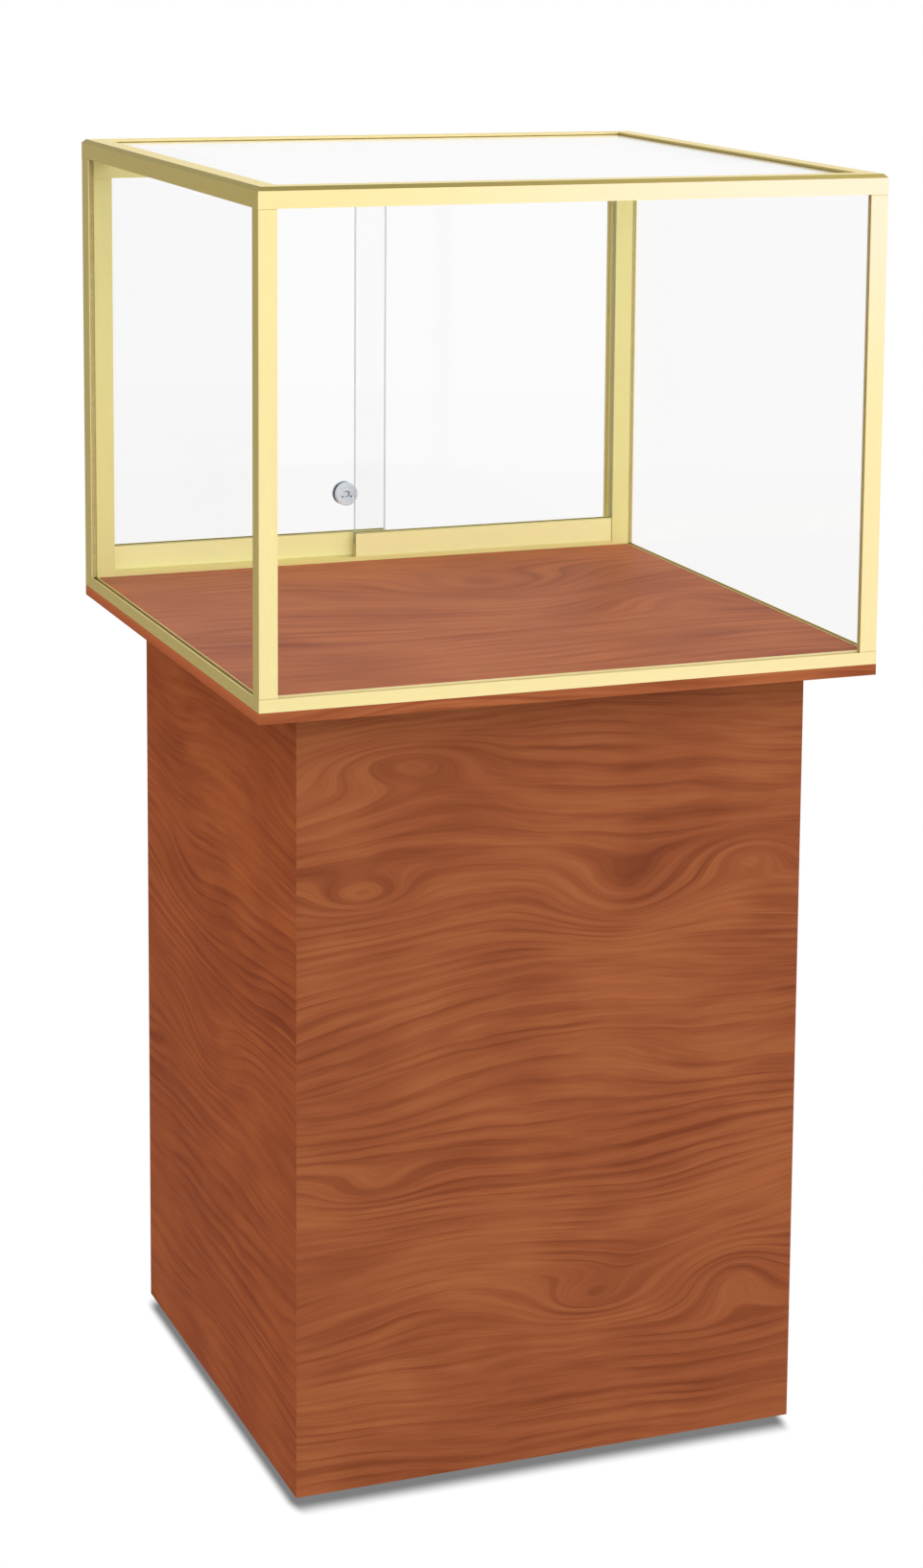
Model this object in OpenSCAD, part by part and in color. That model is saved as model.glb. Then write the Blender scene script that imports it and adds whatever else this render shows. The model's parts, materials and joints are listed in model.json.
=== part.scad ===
// Pedestal display case: a laminated pedestal under a metal-framed glass case
// with two by-passing glass doors in the rear. Millimetres.
// Origin on the floor under the centre, X to the right, Y to the rear, Z up.

/* [Pedestal] */
// outside width of the pedestal
pedestal_w = 508; // [400:1:530]
// outside depth of the pedestal
pedestal_d = 508; // [400:1:530]
// height of the pedestal, up to the base board
pedestal_h = 756.5; // [400:0.5:1000]
// thickness of the pedestal panels
panel_t = 16; // [12:0.5:20]
// side of the square corner cleats
cleat_w = 28; // [26:1:40]
// height of the base panel above the floor
toe_gap = 12; // [6:1:60]

/* [Case] */
// outside width of the case
case_w = 609.6; // [560:0.1:720]
// outside depth of the case
case_d = 609.6; // [560:0.1:720]
// height of the metal frame
frame_h = 464.5; // [320:0.5:620]
// thickness of the board under the frame
board_t = 10.5; // [10:0.5:19]
// thickness of the edging round that board
edging_t = 1; // [0.6:0.1:2]
// height of the laminate floor over the board
deck_h = 11.5; // [10:0.1:11.8]

/* [Frame] */
// outer wall of the extrusions
skin = 1.2; // [1:0.1:1.4]
// inner wall of the glazing pockets
inner_skin = 1; // [0.8:0.1:1.3]
// gap between parts that are fitted face to face
seam = 0.05; // [0.02:0.01:0.1]
// clearance each side of a pane in its pocket
pane_fit = 0.1; // [0.06:0.02:0.2]
// height of the top rails
rail_h = 19.05; // [18.6:0.05:21]
// depth of the top rails
rail_d = 22; // [18:0.1:22]
// chamfer along the top outer edge
rail_chamfer = 3.6; // [2:0.1:4]
// height of the base rails
base_h = 11.9; // [11.8:0.1:13]
// thickness of the base rails' flange
flange_t = 1.5; // [1.2:0.1:1.8]
// depth of the base rails' flange
flange_d = 19; // [18.6:0.1:22]
// depth of the front sill behind the glass
sill_d = 13; // [11:0.5:13.4]
// reach of the posts' glazing legs
post_leg = 17.5; // [12:0.5:24]
// depth of the rear posts' box
rear_box = 9.2; // [9:0.1:9.4]
// depth of the rear posts' outer wall
rear_skin_d = 25.2; // [12:0.1:26.2]
// distance of the jambs' inner edge from the side of the case
jamb_w = 24.4; // [22:0.1:30]
// depth of the door channels in the jambs
jamb_channel = 3; // [2.6:0.1:4]

/* [Glass] */
// thickness of the upright panes
pane_t = 4; // [3.6:0.1:4.4]
// thickness of the top pane
top_pane_t = 4; // [3.5:0.1:4.4]
// thickness of the door glass
door_glass_t = 6; // [5:0.1:6.4]
// depth that the upright panes reach into the top rails
pane_bite = 7; // [5:0.1:7.2]
// thickness of the top pane's gasket
gasket_t = 0.5; // [0.3:0.05:0.6]

/* [Doors] */
// distance between the two door lanes
lane_pitch = 12.6; // [12.4:0.1:13.2]
// overlap of the doors in the middle
overlap = 38; // [26:1:60]
// distance of the middle of that overlap from the middle of the case
overlap_x = 3.1; // [-6:0.1:6]
// reach of the door edges into the jambs
jamb_lap = 2; // [1:0.1:2.2]
// reach of the door glass into the header
header_lap = 4.5; // [3:0.1:6]
// width of a door shoe
shoe_w = 10; // [9.7:0.1:10.2]
// height of a door shoe
shoe_h = 35; // [33:0.5:44]
// wall of a door shoe
shoe_wall = 1.5; // [1.3:0.05:1.6]
// rolling radius of the wheels
wheel_r = 8; // [7:0.1:9]
// diameter of the wheel pins
axle_d = 3; // [2.6:0.1:3.4]
// distance of a wheel from its door's edge
wheel_inset = 40; // [25:1:60]
// height of the track's ribs
rib_h = 16; // [14.6:0.1:18]

/* [Lock] */
// height of the lock over the base board
lock_z = 82.5; // [62:0.5:160]
// distance of the lock from the inner door's edge
lock_set = 7; // [4:0.5:12]
// diameter of the lock's nut
nut_d = 24.6; // [24.4:0.1:28]
// diameter of the lock's sleeve
sleeve_d = 18; // [17:0.1:19]
// diameter of the lock's plunger
plunger_d = 12.9; // [12:0.1:13.4]
// diameter of the plunger's nose
nose_d = 6.4; // [5:0.1:6.6]
// diameter of the key plug
plug_d = 8; // [7:0.1:8.6]

/* [Hidden] */
zd = pedestal_h + board_t;
zt = zd + frame_h;
// glazing pockets
pocket_w = pane_t + 2 * pane_fit;
leg_t = skin + pocket_w + inner_skin;
seat_z = 3.4;
strip_t = 1;
post_hollow = leg_t - 2 * skin;
prong = post_hollow - 2 * seam;
prong_l = 26;
pane_in = leg_t + 0.5;
// top rails, heights from their underside
rail_z = frame_h - rail_h;
pocket_h = 8;
key_z = pocket_h + skin;
key_w = 7.2;
key_h = 5.4;
key_fit = 0.1;
key_l = 31.5;
rim_t = 2.05;
slot_t = top_pane_t + 2 * gasket_t;
slot_z1 = rail_h - rim_t;
slot_z0 = slot_z1 - slot_t;
slot_u = skin + key_w + 1.4;
top_edge_u = slot_u + 0.7;
gasket_u = rail_d + 0.6;
body_u = 2 * skin + pocket_w;
// door lanes, depths from the rear face
lane_w = lane_pitch - skin;
jamb_d = skin + 2 * lane_pitch;
track_d = jamb_d;
header_d = jamb_d + 0.6;
header_h = 19.45;
header_slot = 15;
header_z = rail_z - header_h;
jamb_floor = jamb_w - jamb_channel;
track_t = 1.5;
rib_step = 2.3;
ridge_z = flange_t + track_t + 2;
axle_z = ridge_z + wheel_r;
shoe_z = 6.5;
web_z = axle_z + wheel_r + 7.5;
vinyl_t = (shoe_w - 2 * shoe_wall - door_glass_t) / 2;
door_glass_z = web_z + shoe_wall + 0.5;
door_top_z = header_z + header_lap;
door_far = case_w / 2 - jamb_w + jamb_lap;
wheel_w = shoe_w - 2 * shoe_wall - 1.4;
run_fit = 0.05;
// floor of the case
deck_u = leg_t + 0.1;
deck_front = sill_d + 0.1;
deck_rear = jamb_d + 0.1;
// screws
frame_screw_d = 3;
frame_screw_l = 10;
wood_screw_d = 4;
board_screw_l = panel_t + board_t - 2.5;
cleat_screw_l = cleat_w + panel_t - 6;
flange_screw_u = 16;
track_screw_b = skin + lane_pitch + 2.35;
rear_flange_d = track_screw_b + 2.85;
header_screw_b = skin + lane_w / 2 + 1.4;
// lock, depths from the outer door's rear face
lock_x = overlap_x - overlap / 2 - lock_set;
glass_b = skin + lane_w / 2 - door_glass_t / 2;
washer_t = 0.3;
sleeve_l = door_glass_t + 3.1;
nut_t0 = door_glass_t + washer_t;
plate_t0 = sleeve_l + 0.1;
nut_t1 = plate_t0 + 1.4;
flange_l = 2.4;
plunger_back = 3;
nose_t = plunger_back + 5;
plunger_front = -washer_t - flange_l - 0.5;

// colours
gold = [0.93, 0.85, 0.6];
wood = [0.63, 0.36, 0.22];
clear = [0.8, 0.9, 0.88, 0.35];
zinc = [0.78, 0.79, 0.8];
dark = [0.12, 0.12, 0.12];
pale = [0.86, 0.86, 0.82];
pine = [0.85, 0.72, 0.52];

function lane_b(i) = skin + lane_w / 2 + i * lane_pitch;
function side_len(i) = i % 2 == 0 ? case_w : case_d;

// ---- placing ----

// a piece built on the front side, moved to side i: 0 front, 1 right, 2 rear, 3 left
module on_side(i) {
    rotate([0, 0, 90 * i])
        translate([0, -(i % 2 == 0 ? case_d : case_w) / 2, zd])
            children();
}

// a piece built in the front left corner, moved to the corner with signs sx and sy
module on_corner(sx, sy) {
    translate([sx * case_w / 2, sy * case_d / 2, zd])
        mirror([sx > 0 ? 1 : 0, 0, 0])
            mirror([0, sy > 0 ? 1 : 0, 0])
                children();
}

// a section drawn in depth and height, run along X about the centre
module run(len) {
    translate([-len / 2, 0, 0])
        rotate([90, 0, 90])
            linear_extrude(len)
                children();
}

// the same for sections measured forward from the rear face
module run_rear(len) {
    translate([0, case_d / 2, zd])
        rotate([0, 0, 180])
            run(len)
                children();
}

// the space that a mitred rail may fill
module mitre(len, deep, high) {
    translate([0, 0, -1])
        linear_extrude(high + 2)
            polygon([
                [-len / 2 + seam, 0],
                [len / 2 - seam, 0],
                [len / 2 - seam - deep, deep],
                [-len / 2 + seam + deep, deep]
            ]);
}

// ---- screws ----

// countersunk screw, head at the origin, pointing down
module screw(d, len) {
    difference() {
        rotate_extrude($fn = 16)
            polygon([
                [0, 0],
                [d * 0.73, 0],
                [d * 0.73, -0.1],
                [d / 2, -d * 0.45],
                [d / 2, -len + d * 0.6],
                [0, -len]
            ]);
        translate([-d * 0.4, -d * 0.08, -d * 0.25])
            cube([d * 0.8, d * 0.16, d]);
        translate([-d * 0.08, -d * 0.4, -d * 0.25])
            cube([d * 0.16, d * 0.8, d]);
    }
}

// the hole that it fills, open upward
module screw_hole(d, len) {
    rotate_extrude($fn = 16)
        polygon([
            [0, 2],
            [d * 0.73 + seam, 2],
            [d * 0.73 + seam, -0.1 - seam],
            [d / 2 + seam, -d * 0.45 - seam],
            [d / 2 + seam, -len - 0.3],
            [0, -len - 0.3]
        ]);
}

// through the flanges of the base rails
module at_flange_screws(i) {
    on_side(i)
        for (k = [-1, 0, 1])
            translate([k * side_len(i) * 0.33, flange_screw_u, flange_t])
                children();
}

// through the door track and the rear flange
module at_track_screws() {
    for (k = [-1, 0, 1])
        translate([k * case_w * 0.33, case_d / 2 - track_screw_b, zd + flange_t + track_t])
            children();
}

// up through the header into the rear top rail
module at_header_screws() {
    for (k = [-1, 0, 1])
        translate([k * case_w * 0.4, case_d / 2 - header_screw_b, zd + header_z + header_slot])
            rotate([180, 0, 0])
                children();
}

// up through the pedestal top into the base board
module at_board_screws() {
    for (i = [0:3])
        rotate([0, 0, 90 * i])
            for (k = [-1, 1])
                translate([
                    k * (i % 2 == 0 ? pedestal_w : pedestal_d) * 0.27,
                    (i % 2 == 0 ? pedestal_d : pedestal_w) / 2 - panel_t - 45,
                    pedestal_h - panel_t
                ])
                    rotate([180, 0, 0])
                        children();
}

cleat_z0 = toe_gap + panel_t + seam;
cleat_z1 = pedestal_h - panel_t - seam;
cleat_in = panel_t + seam;

// out through a cleat into its two panels
module at_cleat_screws(sx, sy) {
    for (k = [0.1, 0.5, 0.9]) {
        translate([
            sx * (pedestal_w / 2 - cleat_in - cleat_w),
            sy * (pedestal_d / 2 - cleat_in - cleat_w / 2),
            cleat_z0 + (cleat_z1 - cleat_z0) * k
        ])
            rotate([0, -90 * sx, 0])
                children();
        translate([
            sx * (pedestal_w / 2 - cleat_in - cleat_w / 2),
            sy * (pedestal_d / 2 - cleat_in - cleat_w),
            cleat_z0 + (cleat_z1 - cleat_z0) * k + 22 * (k < 0.5 ? 1 : -1)
        ])
            rotate([90 * sy, 0, 0])
                children();
    }
}

// ---- pedestal ----

// a mitred panel on side i
module pedestal_panel(i) {
    w = i % 2 == 0 ? pedestal_w : pedestal_d;
    d = i % 2 == 0 ? pedestal_d : pedestal_w;
    difference() {
        rotate([0, 0, 90 * i])
            linear_extrude(pedestal_h)
                polygon([
                    [-w / 2 + seam, -d / 2],
                    [w / 2 - seam, -d / 2],
                    [w / 2 - seam - panel_t, -d / 2 + panel_t],
                    [-w / 2 + seam + panel_t, -d / 2 + panel_t]
                ]);
        for (sx = [-1, 1])
            for (sy = [-1, 1])
                at_cleat_screws(sx, sy)
                    screw_hole(wood_screw_d, cleat_screw_l);
    }
}

// a level panel inside the four walls
module inner_panel(z) {
    w = pedestal_w - 2 * panel_t - 2 * seam;
    d = pedestal_d - 2 * panel_t - 2 * seam;
    translate([-w / 2, -d / 2, z])
        cube([w, d, panel_t]);
}

module pedestal_front() { color(wood) pedestal_panel(0); }
module pedestal_right() { color(wood) pedestal_panel(1); }
module pedestal_rear() { color(wood) pedestal_panel(2); }
module pedestal_left() { color(wood) pedestal_panel(3); }

module pedestal_top() {
    color(pine)
        difference() {
            inner_panel(pedestal_h - panel_t);
            at_board_screws()
                screw_hole(wood_screw_d, board_screw_l);
        }
}

module pedestal_base() {
    color(pine) inner_panel(toe_gap);
}

module cleat(sx, sy) {
    x = sx * (pedestal_w / 2 - cleat_in - cleat_w / 2);
    y = sy * (pedestal_d / 2 - cleat_in - cleat_w / 2);
    color(pine)
        difference() {
            translate([x, y, cleat_z0])
                linear_extrude(cleat_z1 - cleat_z0)
                    difference() {
                        square(cleat_w, center = true);
                        translate([-sx * cleat_w / 2, -sy * cleat_w / 2])
                            rotate(45)
                                square(5, center = true);
                    }
            at_cleat_screws(sx, sy)
                screw_hole(wood_screw_d, cleat_screw_l);
        }
}

module cleat_fl() { cleat(-1, -1); }
module cleat_fr() { cleat(1, -1); }
module cleat_rl() { cleat(-1, 1); }
module cleat_rr() { cleat(1, 1); }

module cleat_screws() {
    color(zinc)
        for (sx = [-1, 1])
            for (sy = [-1, 1])
                at_cleat_screws(sx, sy)
                    screw(wood_screw_d, cleat_screw_l);
}

// ---- board and floor of the case ----

module base_board() {
    w = case_w - 2 * edging_t - 2 * seam;
    d = case_d - 2 * edging_t - 2 * seam;
    color(pine)
        difference() {
            translate([-w / 2, -d / 2, pedestal_h])
                cube([w, d, board_t]);
            at_board_screws()
                screw_hole(wood_screw_d, board_screw_l);
            for (i = [0, 1, 3])
                at_flange_screws(i)
                    screw_hole(frame_screw_d, frame_screw_l);
            at_track_screws()
                screw_hole(frame_screw_d, frame_screw_l);
        }
}

module board_edging() {
    color(wood)
        translate([0, 0, pedestal_h])
            linear_extrude(board_t)
                difference() {
                    square([case_w, case_d], center = true);
                    square([case_w - 2 * edging_t, case_d - 2 * edging_t], center = true);
                }
}

module board_screws() {
    color(zinc)
        at_board_screws()
            screw(wood_screw_d, board_screw_l);
}

module display_deck() {
    x = case_w / 2 - deck_u;
    under = flange_d + 0.1;
    color(wood)
        translate([0, 0, zd])
            difference() {
                translate([-x, -case_d / 2 + deck_front, 0])
                    cube([2 * x, case_d - deck_front - deck_rear, deck_h]);
                for (s = [-1, 1])
                    translate([s * case_w / 2 - under, -case_d / 2, -1])
                        cube([2 * under, case_d, flange_t + 1 + seam]);
                translate([-x - 1, -case_d / 2, -1])
                    cube([2 * x + 2, under, flange_t + 1 + seam]);
            }
}

// ---- base rails ----

// section: outer lip, glazing pocket on a solid foot, inner lip and flange
module base_section() {
    polygon([
        [0, 0],
        [flange_d, 0],
        [flange_d, flange_t],
        [leg_t, flange_t],
        [leg_t, base_h],
        [leg_t - inner_skin, base_h],
        [leg_t - inner_skin, seat_z],
        [skin, seat_z],
        [skin, base_h],
        [0, base_h]
    ]);
}

// rear section, without a pocket: the door track fills its place
module base_section_rear() {
    polygon([
        [0, 0],
        [rear_flange_d, 0],
        [rear_flange_d, flange_t],
        [skin, flange_t],
        [skin, base_h],
        [0, base_h]
    ]);
}

module base_rail(i) {
    color(gold)
        difference() {
            on_side(i)
                intersection() {
                    run(side_len(i))
                        base_section();
                    mitre(side_len(i), flange_d, base_h);
                }
            at_flange_screws(i)
                screw_hole(frame_screw_d, frame_screw_l);
        }
}

// the front rail carries a hollow sill behind the glass
module base_rail_front() {
    color(gold)
        difference() {
            on_side(0)
                union() {
                    intersection() {
                        run(case_w)
                            base_section();
                        mitre(case_w, flange_d, base_h);
                    }
                    run(case_w - 2 * leg_t - 2 * seam)
                        difference() {
                            translate([leg_t - inner_skin / 2, flange_t])
                                square([sill_d - leg_t + inner_skin / 2, base_h - flange_t]);
                            translate([leg_t + 0.2, flange_t + skin])
                                square([sill_d - leg_t - skin - 0.2, base_h - flange_t - 2 * skin]);
                        }
                }
            at_flange_screws(0)
                screw_hole(frame_screw_d, frame_screw_l);
        }
}

module base_rail_right() { base_rail(1); }
module base_rail_left() { base_rail(3); }

module base_rail_rear() {
    color(gold)
        difference() {
            on_side(2)
                intersection() {
                    run(case_w)
                        base_section_rear();
                    mitre(case_w, rear_flange_d, base_h);
                }
            at_track_screws()
                screw_hole(frame_screw_d, frame_screw_l);
        }
}

// ---- top rails ----

// section: chamfered box with a pane pocket below, a key hollow and a slot for the top pane
module top_section() {
    difference() {
        polygon([
            [0, 0],
            [rail_d, 0],
            [rail_d, slot_z0],
            [slot_u, slot_z0],
            [slot_u, slot_z1],
            [rail_d, slot_z1],
            [rail_d, rail_h],
            [rail_chamfer, rail_h],
            [0, rail_h - rail_chamfer]
        ]);
        translate([skin, -1])
            square([pocket_w, pocket_h + 1]);
        translate([skin, key_z])
            square([key_w, key_h]);
        polygon([
            [body_u, skin],
            [rail_d - skin, skin],
            [rail_d - skin, slot_z0 - skin],
            [2 * skin + key_w, slot_z0 - skin],
            [2 * skin + key_w, pocket_h],
            [body_u, pocket_h]
        ]);
    }
}

module top_rail(i) {
    len = side_len(i);
    color(gold)
        difference() {
            on_side(i)
                translate([0, 0, rail_z])
                    difference() {
                        intersection() {
                            run(len)
                                top_section();
                            mitre(len, rail_d, rail_h);
                        }
                        for (s = [-1, 1])
                            translate([
                                s * (len / 2 - skin - pocket_w / 2) - pocket_w / 2,
                                skin,
                                pocket_h - 0.5
                            ])
                                cube([pocket_w, pocket_w, skin + 1]);
                    }
            if (i == 2)
                at_header_screws()
                    screw_hole(frame_screw_d, frame_screw_l);
        }
}

module top_rail_front() { top_rail(0); }
module top_rail_right() { top_rail(1); }
module top_rail_rear() { top_rail(2); }
module top_rail_left() { top_rail(3); }

// ---- posts and jambs ----

// two glazing legs on a square box
module front_post(sx) {
    a = leg_t - inner_skin;
    color(gold)
        on_corner(sx, -1)
            translate([0, 0, base_h])
                linear_extrude(rail_z - base_h)
                    difference() {
                        polygon([
                            [0.5, 0],
                            [post_leg, 0],
                            [post_leg, skin],
                            [leg_t, skin],
                            [leg_t, a],
                            [post_leg, a],
                            [post_leg, leg_t],
                            [leg_t, leg_t],
                            [leg_t, post_leg],
                            [a, post_leg],
                            [a, leg_t],
                            [skin, leg_t],
                            [skin, post_leg],
                            [0, post_leg],
                            [0, 0.5],
                            [0.15, 0.15]
                        ]);
                        translate([skin, skin])
                            square(post_hollow);
                    }
}

// one glazing leg on a deeper box
module rear_post(sx) {
    color(gold)
        on_corner(sx, 1)
            translate([0, 0, base_h])
                linear_extrude(rail_z - base_h)
                    difference() {
                        polygon([
                            [0.5, 0],
                            [leg_t, 0],
                            [leg_t, rear_box],
                            [skin, rear_box],
                            [skin, rear_skin_d],
                            [0, rear_skin_d],
                            [0, 0.5],
                            [0.15, 0.15]
                        ]);
                        translate([skin, skin])
                            square([post_hollow, rear_box - 2 * skin]);
                    }
}

module post_fl() { front_post(-1); }
module post_fr() { front_post(1); }
module post_rl() { rear_post(-1); }
module post_rr() { rear_post(1); }

// a box with two lanes for the door edges, beside the rear post
module jamb(sx) {
    a0 = leg_t - inner_skin;
    a1 = leg_t + seam;
    b1 = rear_box + seam;
    color(gold)
        on_corner(sx, 1)
            difference() {
                translate([0, 0, flange_t])
                    linear_extrude(header_z - flange_t)
                        difference() {
                            polygon([
                                [a1, 0],
                                [jamb_w, 0],
                                [jamb_w, skin],
                                [jamb_floor, skin],
                                [jamb_floor, skin + lane_w],
                                [jamb_w, skin + lane_w],
                                [jamb_w, 2 * skin + lane_w],
                                [jamb_floor, 2 * skin + lane_w],
                                [jamb_floor, jamb_d - skin],
                                [jamb_w, jamb_d - skin],
                                [jamb_w, jamb_d],
                                [a0, jamb_d],
                                [a0, b1],
                                [a1, b1]
                            ]);
                            polygon([
                                [a1 + skin, skin],
                                [jamb_floor - skin, skin],
                                [jamb_floor - skin, jamb_d - skin],
                                [a0 + skin, jamb_d - skin],
                                [a0 + skin, b1 + skin],
                                [a1 + skin, b1 + skin]
                            ]);
                        }
                translate([-1, -1, 0])
                    cube([jamb_w + 2, skin + seam + 1, base_h + seam]);
                translate([-1, -1, 0])
                    cube([leg_t + seam + 1, jamb_d + 2, base_h + seam]);
            }
}

module jamb_left() { jamb(-1); }
module jamb_right() { jamb(1); }

// ---- door track and header ----

// a roller ridge in the middle of lane i
module ridge(i) {
    translate([lane_b(i), flange_t + track_t])
        polygon([[-1.2, -0.1], [1.2, -0.1], [0.8, 2], [-0.8, 2]]);
}

module door_track() {
    b0 = skin + 0.1;
    color(gold)
        difference() {
            run_rear(case_w - 2 * jamb_w - 2 * seam)
                union() {
                    translate([b0, flange_t])
                        square([track_d - b0, track_t]);
                    ridge(0);
                    ridge(1);
                    translate([skin + lane_w, flange_t])
                        square([skin, rib_h - flange_t]);
                    polygon([
                        [track_d - skin, 0],
                        [track_d, 0],
                        [track_d, rib_h - rib_step],
                        [track_d - 0.4, rib_h - rib_step],
                        [track_d - 0.4, rib_h],
                        [track_d - skin, rib_h]
                    ]);
                }
            at_track_screws()
                screw_hole(frame_screw_d, frame_screw_l);
        }
}

module door_header() {
    slot_w = door_glass_t + 1.6;
    s0 = lane_b(0) - slot_w / 2;
    s1 = lane_b(1) - slot_w / 2;
    color(gold)
        difference() {
            translate([0, 0, header_z])
                run_rear(case_w - 2 * (leg_t - inner_skin))
                    difference() {
                        square([header_d, header_h]);
                        translate([s0, -1])
                            square([slot_w, header_slot + 1]);
                        translate([s1, -1])
                            square([slot_w, header_slot + 1]);
                        translate([s0 + slot_w + skin, skin])
                            square([s1 - s0 - slot_w - 2 * skin, header_slot - skin]);
                        translate([s1 + slot_w + skin, skin])
                            square([header_d - s1 - slot_w - 2 * skin, header_slot - skin]);
                        translate([skin, header_slot + 1.5])
                            square([header_d - 2 * skin, header_h - header_slot - 1.5 - skin]);
                    }
            for (sx = [-1, 1])
                on_corner(sx, 1)
                    translate([-1, -1, header_z - 1])
                        cube([leg_t + seam + 1, rear_box + seam + 1, header_h + 2]);
            at_header_screws()
                screw_hole(frame_screw_d, frame_screw_l);
        }
}

// ---- corner joints ----

// one key: two level prongs in the top rails and one down into the post
module corner_key() {
    u0 = skin + seam;
    u1 = skin + key_w - key_fit;
    h = key_h - 2 * key_fit;
    translate([0, 0, rail_z + key_z + key_fit])
        linear_extrude(h)
            polygon([
                [u0, u0],
                [key_l - 1, u0],
                [key_l, u0 + 1],
                [key_l, u1 - 1],
                [key_l - 1, u1],
                [u1, u1],
                [u1, key_l - 1],
                [u1 - 1, key_l],
                [u0 + 1, key_l],
                [u0, key_l - 1]
            ]);
    translate([u0, u0, rail_z - prong_l])
        cube([prong, prong, prong_l + key_z + key_fit + h / 2]);
}

module corner_keys() {
    color(zinc)
        for (sx = [-1, 1])
            for (sy = [-1, 1])
                on_corner(sx, sy)
                    corner_key();
}

// square pins from the base rails' feet into the posts
module post_pins() {
    color(zinc) {
        for (sx = [-1, 1])
            on_corner(sx, -1)
                translate([skin + seam, skin + seam, seat_z])
                    cube([prong, prong, prong_l + base_h - seat_z]);
        for (sx = [-1, 1])
            on_corner(sx, 1)
                translate([skin + seam, rear_box - skin - seam - prong, seat_z])
                    cube([prong, prong, prong_l + base_h - seat_z]);
    }
}

module frame_screws() {
    color(zinc) {
        for (i = [0, 1, 3])
            at_flange_screws(i)
                screw(frame_screw_d, frame_screw_l);
        at_track_screws()
            screw(frame_screw_d, frame_screw_l);
        at_header_screws()
            screw(frame_screw_d, frame_screw_l);
    }
}

// ---- glazing ----

pane_z0 = seat_z + strip_t;
pane_z1 = rail_z + pane_bite;
side_pane_b = rear_box + 0.5;

module pane_front() {
    color(clear)
        on_side(0)
            translate([-case_w / 2 + pane_in, skin + pane_fit, pane_z0])
                cube([case_w - 2 * pane_in, pane_t, pane_z1 - pane_z0]);
}

module side_pane(sx) {
    color(clear)
        on_corner(sx, -1)
            translate([skin + pane_fit, pane_in, pane_z0])
                cube([pane_t, case_d - pane_in - side_pane_b, pane_z1 - pane_z0]);
}

module pane_left() { side_pane(-1); }
module pane_right() { side_pane(1); }

module pane_top() {
    color(clear)
        translate([
            -case_w / 2 + top_edge_u,
            -case_d / 2 + top_edge_u,
            zd + rail_z + slot_z0 + gasket_t
        ])
            cube([case_w - 2 * top_edge_u, case_d - 2 * top_edge_u, top_pane_t]);
}

// a channel round the edge of the top pane
module top_gasket() {
    e = seam / 2;
    color(dark)
        translate([0, 0, zd + rail_z + slot_z0])
            difference() {
                translate([0, 0, e])
                    linear_extrude(slot_t - 2 * e)
                        difference() {
                            square(
                                [case_w - 2 * slot_u - 2 * seam, case_d - 2 * slot_u - 2 * seam],
                                center = true
                            );
                            square([case_w - 2 * gasket_u, case_d - 2 * gasket_u], center = true);
                        }
                translate([0, 0, gasket_t])
                    linear_extrude(top_pane_t)
                        square(
                            [case_w - 2 * top_edge_u, case_d - 2 * top_edge_u],
                            center = true
                        );
            }
}

// plastic strips on which the upright panes stand
module setting_strips() {
    color(dark) {
        on_side(0)
            translate([-case_w / 2 + pane_in, skin + seam, seat_z])
                cube([case_w - 2 * pane_in, pocket_w - 2 * seam, strip_t]);
        for (sx = [-1, 1])
            on_corner(sx, -1)
                translate([skin + seam, pane_in, seat_z])
                    cube([pocket_w - 2 * seam, case_d - pane_in - side_pane_b, strip_t]);
    }
}

// ---- doors ----

// lane 0 at the rear holds the outer door, lane 1 the inner door
function door_x0(lane) = lane == 0 ? -door_far : overlap_x - overlap / 2;
function door_x1(lane) = lane == 0 ? overlap_x + overlap / 2 : door_far;
function door_y(lane) = case_d / 2 - lane_b(lane);

module at_lock() {
    translate([lock_x, case_d / 2 - glass_b, zd + lock_z])
        rotate([90, 0, 0])
            children();
}

module door_glass(lane) {
    translate([door_x0(lane), door_y(lane) - door_glass_t / 2, zd + door_glass_z])
        cube([door_x1(lane) - door_x0(lane), door_glass_t, door_top_z - door_glass_z]);
}

// H section: the upper channel holds the glass, the lower one the wheels
module door_shoe(lane) {
    s = shoe_w / 2;
    g = s - shoe_wall;
    z1 = shoe_z + shoe_h;
    xm = (door_x0(lane) + door_x1(lane)) / 2;
    difference() {
        translate([xm, door_y(lane), zd])
            run(door_x1(lane) - door_x0(lane))
                polygon([
                    [-s, shoe_z],
                    [-g, shoe_z],
                    [-g, web_z],
                    [g, web_z],
                    [g, shoe_z],
                    [s, shoe_z],
                    [s, z1 - 1],
                    [s - 0.7, z1],
                    [g, z1],
                    [g, web_z + shoe_wall],
                    [-g, web_z + shoe_wall],
                    [-g, z1],
                    [-s + 0.7, z1],
                    [-s, z1 - 1]
                ]);
        for (e = [0, 1])
            at_wheel(lane, e)
                cylinder(d = axle_d + 2 * run_fit, h = shoe_w + 2, center = true, $fn = 32);
    }
}

// U-shaped glazing vinyl in the upper channel
module door_vinyl(lane) {
    g = shoe_w / 2 - shoe_wall - seam / 2;
    i = door_glass_t / 2;
    z1 = shoe_z + shoe_h - 0.3;
    xm = (door_x0(lane) + door_x1(lane)) / 2;
    translate([xm, door_y(lane), zd])
        run(door_x1(lane) - door_x0(lane) - 2 * seam)
            polygon([
                [-g, web_z + shoe_wall],
                [g, web_z + shoe_wall],
                [g, z1],
                [i, z1],
                [i, door_glass_z],
                [-i, door_glass_z],
                [-i, z1],
                [-g, z1]
            ]);
}

// the wheel at end e of a door, its axis along the local Z
module at_wheel(lane, e) {
    x = e == 0 ? door_x0(lane) + wheel_inset : door_x1(lane) - wheel_inset;
    translate([x, door_y(lane), zd + axle_z])
        rotate([90, 0, 0])
            children();
}

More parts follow.
